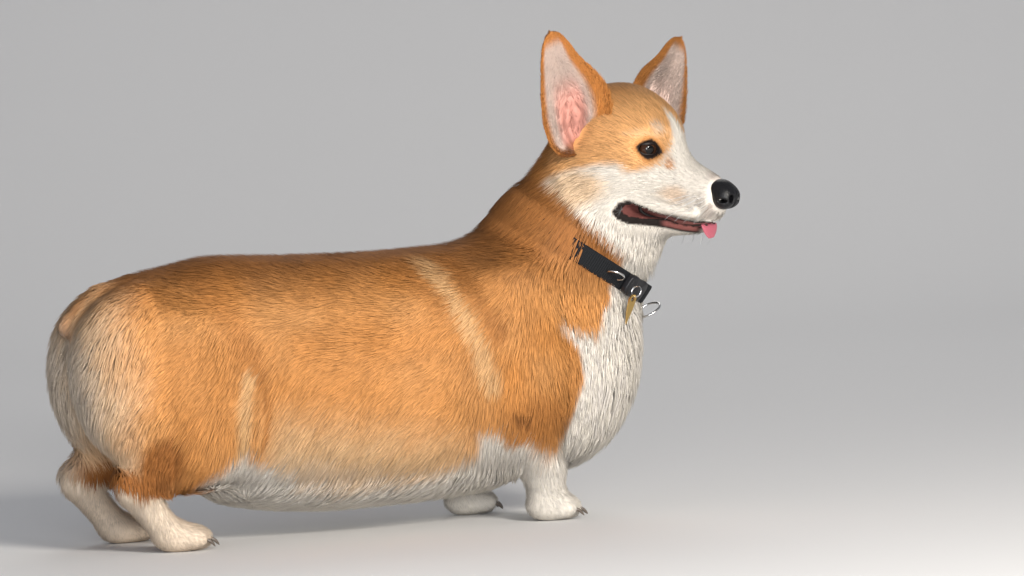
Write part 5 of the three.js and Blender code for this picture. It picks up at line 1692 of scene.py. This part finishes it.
def build_mouth():
    """Tongue, lining and lips. The tongue is a cupped oval swept along a curve over the jaw; the lining is a
    dark oval body inside it; each lip is a tapering roll along its line in side view."""
    flesh = material("tongue_flesh", 0.32, base=tint("tongue"), coat=0.35)
    add_bump(flesh, "ShaderNodeTexNoise", 1500.0, 0.25, 0.0003)
    # Painted shade: the lining is the gum colour darkened, standing for the shade inside the mouth.
    inner = material("mouth_lining", 0.5, base=tint("gum") * 0.55, specular=0.25)
    lip_black = material("lip", 0.5, base=tint("rim"), specular=0.25)
    rows = 44
    t = np.linspace(0, 1, rows)
    stations = np.array(TONGUE_PATH)
    x, z = (smoothed(np.interp(t, stations[:, 0], stations[:, i]), 6) for i in (1, 2))
    path = np.stack([x, np.zeros(rows), z], 1)
    way = unit(np.gradient(path, axis=0))
    side = np.tile((0.0, 1.0, 0.0), (rows, 1))
    end = np.sqrt(np.clip(1 - ramp(0.78, 1.04, t) ** 2, 0.0004, 1))
    wide = mix(8.0, 13.5, ramp(0.66, 0.86, t)) * end
    points, faces = swept(path, way, wide, mix(3.4, 1.9, t) * end, side, 20)
    cup = (points[:, 1] / 12) ** 2
    points[:, 2] += 1.6 * (cup - 0.5) * ramp(66, 56, points[:, 0])
    finish_piece(mesh_from("tongue_blade", HEAD.out(points), faces, [flesh]), "tongue", "tongue")

    rows = 30
    x = np.linspace(LINING_WIDTH[0][0], LINING_WIDTH[-1][0], rows)
    upper, lower, _, _ = mouth_lines(x)
    path = np.stack([x, np.zeros(rows), (upper + lower) / 2], 1)
    way, side = (np.tile(axis, (rows, 1)) for axis in ((1.0, 0.0, 0.0), (0.0, 1.0, 0.0)))
    points, faces = swept(path, way, curve(LINING_WIDTH, x), (upper - lower) / 2 + 3, side, 20)
    finish_piece(mesh_from("mouth_lining", HEAD.out(points), faces, [inner]), "tongue")

    rows = 90
    for name, ear in EARS.items():
        side = ear["side"]
        s = np.linspace(0, 1, rows)
        top_x = mix(LIP_FRONT, MOUTH_CORNER[0], np.clip(s / 0.5, 0, 1))
        low_x = mix(MOUTH_CORNER[0], 60.0, np.clip((s - 0.5) / 0.5, 0, 1))
        upper = mouth_lines(top_x)[0]
        lower = mouth_lines(low_x)[1]
        x = smoothed(np.where(s < 0.5, top_x, low_x), 8)
        z = smoothed(np.where(s < 0.5, upper, lower), 8)
        path = np.stack([x, np.zeros(rows), z], 1)
        reach = np.linspace(0, 55, 111)
        skin = np.stack([skull(path + np.array([0, side * r, 0])) for r in reach], 1)
        depth = smoothed(reach[np.argmax(skin > -2.0, axis=1)], 6)
        path[:, 1] = side * (depth - 1.0)
        way = unit(np.gradient(path, axis=0))
        across = unit(np.cross(way, np.array([0.0, side, 0.0])))
        thick = curve(LIP_THICKNESS, x)
        fade = np.sqrt(np.clip(np.minimum(s, 1 - s) / 0.02, 0.02, 1))
        points, faces = swept(path, way, thick * fade, thick * 1.2 * fade, across, 12)
        finish_piece(mesh_from(f"lips_{name}", HEAD.out(points), faces, [lip_black]), "nose_leather")


def build_whiskers():
    """Whiskers: thin spikes that sweep back from the muzzle, and short white ones under the chin."""
    random = np.random.default_rng(sizes().seed + 3)
    roots, ways, lengths, shades = [], [], [], []
    for side in (1.0, -1.0):
        for row in range(3):
            for n in range(4):
                roots.append((64 - 6 * n - row, side * (12 + 1.6 * n), -36 - 4.5 * row))
                ways.append((-0.15 - 0.12 * n, side * 0.9, -0.25 - 0.15 * row))
                lengths.append(20 + 3 * n)
                shades.append(0.7)
        for n in range(4):
            roots.append((-14 + n, side * 46, -52 - n))
            ways.append((0.1 - 0.16 * n, side * 0.5, -0.9 + 0.3 * n))
            lengths.append(13)
            shades.append(0.05)
    for n in range(12):
        roots.append((62 - 3.4 * n, 9 * math.sin(2.1 * n), -76))
        ways.append((0.15 - 0.25 * random.random(), 0.3 * math.sin(2.1 * n), -1))
        lengths.append(9 + 5 * random.random())
        shades.append(0.8)
    root = HEAD.out(np.array(roots, float))
    root = Corgi.head.settled(Corgi.head.settled(root, -1.5), -1.5)
    normal = Corgi.head.way_out(root)
    way = unit(HEAD.way(np.array(ways, float)))
    lie = unit(way - normal * (way * normal).sum(1)[:, None])
    length, width = np.array(lengths), np.full(len(root), 0.34)
    lift = np.clip((way * normal).sum(1), 0.3, 0.9)
    made = tufts(root, normal, lie, length * 0.9, length * lift * 0.6, width, 3)
    shade = np.tile(np.array(shades)[:, None], (1, 3))
    hair = material("whisker", 0.4, attribute="coat")
    unwrap = disc_unwrap(HEAD.inside(root), HEAD_CORE, (1, 0, 0))
    coat_piece("whiskers", *made, 3, shade, shade, unwrap, hair, "white_coat")


def build_claws():
    """Claws: sixteen horn cones that curve down out of the toes; each is a ring swept along an arc."""
    horn = material("claw", 0.35, base=tint("claw"))
    rows, around = 12, 10
    all_points, all_faces = [], []
    paws = [(x + 8, s * STANCE_HALF, s * 8) for s, x in FRONT_LEGS]
    paws += [(x + 4, s * (STANCE_HALF + 3), s * 6) for s, x in HIND_LEGS]
    for x, y, splay in paws:
        paw = Place((x, y, 0), splay)
        for n in (-1.5, -0.5, 0.5, 1.5):
            bend = np.linspace(0, 1, rows)
            tip = 17 - 2.6 * n * n + 11
            height = 9.5 - 0.8 * bend - 5.2 * bend**2
            path = np.stack([tip - 3 + 7 * bend, np.full(rows, n * 10.5), height], 1)
            way = unit(np.gradient(path, axis=0))
            across = np.tile((0.0, 1.0, 0.0), (rows, 1))
            thick = 1.9 * np.sqrt(np.clip(1 - bend**1.6, 0.002, 1))
            points, faces = swept(path, way, thick * 0.8, thick, across, around)
            all_faces.append(faces + len(all_points) * rows * around)
            all_points.append(paw.out(points))
    claws = mesh_from("claws", np.concatenate(all_points), np.concatenate(all_faces), [horn])
    finish_piece(claws, "nose_leather")


# Collar


def collar_spots(degrees):
    """Places where the collar's plane meets the body at the given turns, with the ways out and along."""
    a = np.radians(np.atleast_1d(degrees).astype(float))
    way = COLLAR_FRONT * np.cos(a)[:, None] + COLLAR_SIDE * np.sin(a)[:, None]
    low, high = np.full(len(a), 20.0), np.full(len(a), 140.0)
    for _ in range(24):
        middle = (low + high) / 2
        within_it = body(np.array(COLLAR_AT) + way * middle[:, None]) < 0
        low, high = np.where(within_it, middle, low), np.where(within_it, high, middle)
    return np.array(COLLAR_AT) + way * low[:, None], way, np.cross(COLLAR_AXIS, way)


def on_collar(local, degrees, place, turn=(0.0, 0.0, 0.0)):
    """Points drawn about an origin, turned, and set on the collar: X along it, Y up the neck, Z outwards."""
    at, way, along = (v[0] for v in collar_spots(degrees))
    x, y, z = turn
    turned = turning(roll=x) @ turning(pitch=y) @ turning(yaw=z)
    basis = np.stack([along, COLLAR_AXIS, way], 1)
    return (local @ turned.T + np.array(place)) @ basis.T + at


def ring_points(radius, wire, rows=64, around=14):
    """Torus: a small circle swept round a large one."""
    a, b = all_pairs(full_turn(rows), full_turn(around))
    reach = radius + wire * np.cos(b)
    points = np.stack([reach * np.cos(a), reach * np.sin(a), wire * np.sin(b)], 1)
    return points, grid_faces(rows, around, True, True)


BUCKLE = {"turn": -52.0, "long": 34.0, "wide": 21.0, "thick": 7.0}
# Rings: turn round the collar, radius, wire, place and tilt
RINGS = {
    "collar_loop": (-75.0, 9.0, 1.0, (0, 0, 1), (62, 0, 0)),
    "collar_ring": (-19.0, 12.0, 1.1, (0, -11, 7), (30, 20, 0)),
    "tag_ring": (-58.0, 5.0, 0.9, (0, -2, 12.4), (0, 90, 0)),
}
TAG = {
    "turn": -58.0, "long": 27.0, "wide": 9.0, "thick": 1.5,
    "hole": 2.4, "place": (0, -9.5, 13.4), "swing": 28.0,
}


def build_collar():
    """Strap, buckle, rings and tag, each a closed grid of two parameters."""
    webbing = material("webbing", 0.75, base=tint("webbing"), specular=0.15)
    add_bump(webbing, "ShaderNodeTexWave", 1.0, 0.8, 0.0006, "UV")
    rows, around = 240, 24
    spot, way, _ = collar_spots(np.linspace(0, 360, rows, endpoint=False))
    a = full_turn(around)
    lift = COLLAR_HALF * squarer(np.cos(a), 0.35)
    inner, outer = COLLAR_DEPTHS
    deep = (inner + outer) / 2 + (outer - inner) / 2 * squarer(np.sin(a), 0.6)
    points = (spot[:, None] + COLLAR_AXIS * lift[:, None] + way[:, None] * deep[:, None]).reshape(-1, 3)
    faces = facing_out(points - points.mean(0), grid_faces(rows, around, True, True))
    row_share = np.repeat(np.arange(rows) / rows, around)
    uv = np.stack([row_share * 60, np.tile(lift / COLLAR_HALF, rows)], 1)
    strap = mesh_from("strap", points, faces, [webbing], uv={"weave": uv})
    finish_piece(strap, "webbing", "collar_strap")

    plastic = material("buckle_plastic", 0.38, base=tint("buckle"), specular=0.3)
    rows, around = 34, 40
    v = np.linspace(-1, 1, rows)
    height = BUCKLE["thick"] / 2 * v
    edge = (1 - np.abs(v) ** 6) ** (1 / 6)
    edge = np.where(np.abs(v) == 1, 0.0, np.maximum(edge, 0.55))
    a = full_turn(around)
    ring_x = squarer(np.cos(a), 0.5) * BUCKLE["long"] / 2
    ring_y = squarer(np.sin(a), 0.5) * BUCKLE["wide"] / 2
    waist = 1 - 0.12 * np.exp(-((ring_x / 5) ** 2))
    local = np.stack(
        [
            (edge[:, None] * ring_x).ravel(),
            (edge[:, None] * ring_y * waist).ravel(),
            np.repeat(height, around),
        ],
        1,
    )
    local[:, 2] += 1.0 - 0.004 * local[:, 0] ** 2
    local[:, 2] -= 0.9 * (np.abs(np.abs(local[:, 0]) - 6.5) < 1.1) * (local[:, 2] > 2)
    place = (0, 0, COLLAR_DEPTHS[1] + 0.3 + BUCKLE["thick"] / 2 - 1.0)
    points = on_collar(local, BUCKLE["turn"], place)
    faces = facing_out(points - points.mean(0), grid_faces(rows, around, wrap_columns=True))
    finish_piece(mesh_from("buckle", points, faces, [plastic]), "buckle_plastic", "collar_buckle")

    steel = material("steel", 0.22, base=tint("steel"), metal=1.0)
    for name, (turn, radius, wire, place, tilt) in RINGS.items():
        local, faces = ring_points(radius, wire)
        points = on_collar(local, turn, place, tilt)
        faces = facing_out(points - points.mean(0), faces)
        finish_piece(mesh_from(f"wire_{name}", points, faces, [steel]), "steel", name)

    brass = material("brass", 0.28, base=tint("brass"), metal=1.0)
    rows = 60
    a = 2 * math.pi * np.linspace(0, 1, rows, endpoint=False)
    half, long = TAG["wide"] / 2, TAG["long"]
    down = np.clip(-np.sin(a), 0, 1)
    height = np.where(np.sin(a) > 0, half * np.sin(a), -long * down)
    outline = np.stack([half * np.cos(a) * (1 - down**2.2), height], 1)
    hole = TAG["hole"] * np.stack([np.cos(a), np.sin(a)], 1)
    inset = mix(outline, hole, 0.06)
    thick = TAG["thick"] / 2
    rings = [(ring, thick) for ring in (outline, inset, hole)]
    rings += [(ring, -thick) for ring in (hole, inset, outline)]
    local = np.stack([np.column_stack([ring, np.full(rows, z)]) for ring, z in rings], 1).reshape(-1, 3)
    points = on_collar(local, TAG["turn"], TAG["place"], (0, 0, TAG["swing"]))
    faces = facing_out(points - points.mean(0), grid_faces(rows, len(rings), True, True))
    finish_piece(mesh_from("tag", points, faces, [brass], smooth=False), "brass", "collar_tag")


# Stage


LOOK_AT = (154.7, 0.0, 213.0)
# Lamps: name, place from the middle of the dog in metres, width in metres, watts and colour
LAMPS = (
    ("key", (0.6, -3.1, 1.15), 0.7, 118.0, (1.0, 0.94, 0.86)),
    ("fill", (-0.6, -2.6, 0.2), 0.8, 36.0, (0.97, 0.98, 1.0)),
    ("rim", (1.0, 2.6, 2.2), 1.6, 18.0, (1.0, 0.97, 0.92)),
)
SKY_COLOUR = (0.86, 0.90, 1.0, 1)
SKY_STRENGTH = 0.26


def build_stage():
    """Pale floor that sweeps up into a backdrop, soft lamps, and the camera at the photograph's angle."""
    pale = material("floor", 0.8, base=tint("floor"), specular=0.2)
    rows, columns = 60, 30
    near, far, radius, wall, half = -6000, 2600, 1500, 3500, 9000
    s = np.linspace(0, 1, rows)
    bend = np.clip((s - 0.55) / 0.2, 0, 1) * math.pi / 2
    run = np.where(s < 0.55, mix(near, far, s / 0.55), far + radius * np.sin(bend))
    rise = np.where(s < 0.55, 0, radius * (1 - np.cos(bend)) + np.clip((s - 0.75) / 0.25, 0, 1) * wall)
    across = np.linspace(-half, half, columns)
    points = np.stack([np.tile(across, rows), np.repeat(run, columns), np.repeat(rise, columns)], 1)
    turn = turning(yaw=math.degrees(sizes().camera_turn))
    points = points @ turn.T
    points[:, :2] -= Corgi.offset[:2]
    floor = mesh_from("studio_floor", points, grid_faces(rows, columns), [pale])

    world = bpy.data.worlds.new("studio")
    bpy.context.scene.world = world
    bpy.context.scene.view_settings.view_transform = "Standard"
    world.use_nodes = True
    sky = world.node_tree.nodes["Background"]
    sky.inputs["Color"].default_value = SKY_COLOUR
    sky.inputs["Strength"].default_value = SKY_STRENGTH

    settings = sizes()
    a, e, r = settings.camera_turn, settings.camera_rise, settings.camera_roll
    back = Vector((math.sin(a) * math.cos(e), -math.cos(a) * math.cos(e), math.sin(e)))
    right = Vector((math.cos(a), math.sin(a), 0))
    up = back.cross(right)
    rolled_right = right * math.cos(r) - up * math.sin(r)
    rolled_up = up * math.cos(r) + right * math.sin(r)
    target = Vector(to_frame(LOOK_AT))
    data = bpy.data.cameras.new("camera")
    data.lens = 189.0
    data.sensor_width = 36.0
    data.clip_end = 60.0
    camera = bpy.data.objects.new("camera", data)
    turned = Matrix((rolled_right, rolled_up, back)).transposed().to_4x4()
    camera.matrix_world = Matrix.Translation(target + back * settings.camera_reach) @ turned
    bpy.context.collection.objects.link(camera)
    bpy.context.scene.camera = camera

    middle = target + Vector((-0.1, 0, -0.06))
    for name, at, width, power, shade in LAMPS:
        light = bpy.data.lights.new(name, "AREA")
        light.size = width
        light.energy = power
        light.color = shade
        lamp = bpy.data.objects.new(name, light)
        place = middle + Vector(at)
        aim = (middle - place).to_track_quat("-Z", "Y").to_matrix().to_4x4()
        lamp.matrix_world = Matrix.Translation(place) @ aim
        bpy.context.collection.objects.link(lamp)


# Operators and panel


def find_offset():
    """Sets how far the dog's frame lies from the packed one, from the eye that both know."""
    low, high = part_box("eye_right")
    centre = (np.array(low) + np.array(high)) / 2 * 1000
    Corgi.offset = centre - HEAD.out(eye_frame(-1.0)[3])


def operator(key, label, words, *builders):
    """An operator class that runs the given builders in order."""

    class Made(bpy.types.Operator):
        bl_idname = f"corgi.{key}"
        bl_label = label
        __doc__ = words

        def execute(self, context):
            for builder in builders:
                builder()
            return {"FINISHED"}

    Made.__name__ = f"CORGI_OT_{key}"
    return Made


COAT_BUILDERS = (build_body_coat, build_head_coat, build_ear_coat)
OPERATORS = (
    operator("skin", "Skin", "Makes the skin of body, head and ears", find_offset, build_skin),
    operator("coat", "Coat", "Grows the coat of body, head and ears", *COAT_BUILDERS),
    operator("eyes", "Eyes", "Makes the eyes and their rims", build_eyes),
    operator("nose", "Nose", "Makes the nose", build_nose),
    operator("mouth", "Mouth", "Makes the tongue, lining and lips", build_mouth),
    operator("whiskers", "Whiskers", "Makes the whiskers", build_whiskers),
    operator("claws", "Claws", "Makes the claws", build_claws),
    operator("collar", "Collar", "Makes the strap, buckle, rings and tag", build_collar),
    operator("stage", "Stage", "Makes the floor, lights and camera", build_stage),
)


class CORGI_PT_panel(bpy.types.Panel):
    bl_idname = "CORGI_PT_panel"
    bl_label = "Corgi"
    bl_space_type = "VIEW_3D"
    bl_region_type = "UI"
    bl_category = "Corgi"

    def draw(self, context):
        for made in OPERATORS:
            self.layout.operator(made.bl_idname)


def register():
    for made in (CorgiSizes, CorgiColours, *OPERATORS, CORGI_PT_panel):
        bpy.utils.register_class(made)
    bpy.types.Scene.corgi_sizes = PointerProperty(type=CorgiSizes)
    bpy.types.Scene.corgi_colours = PointerProperty(type=CorgiColours)


def unregister():
    del bpy.types.Scene.corgi_sizes
    del bpy.types.Scene.corgi_colours
    for made in reversed((CorgiSizes, CorgiColours, *OPERATORS, CORGI_PT_panel)):
        bpy.utils.unregister_class(made)


def main():
    register()
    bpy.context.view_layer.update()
    for made in OPERATORS:
        getattr(bpy.ops.corgi, made.bl_idname.split(".")[1])()


if __name__ == "__main__":
    main()
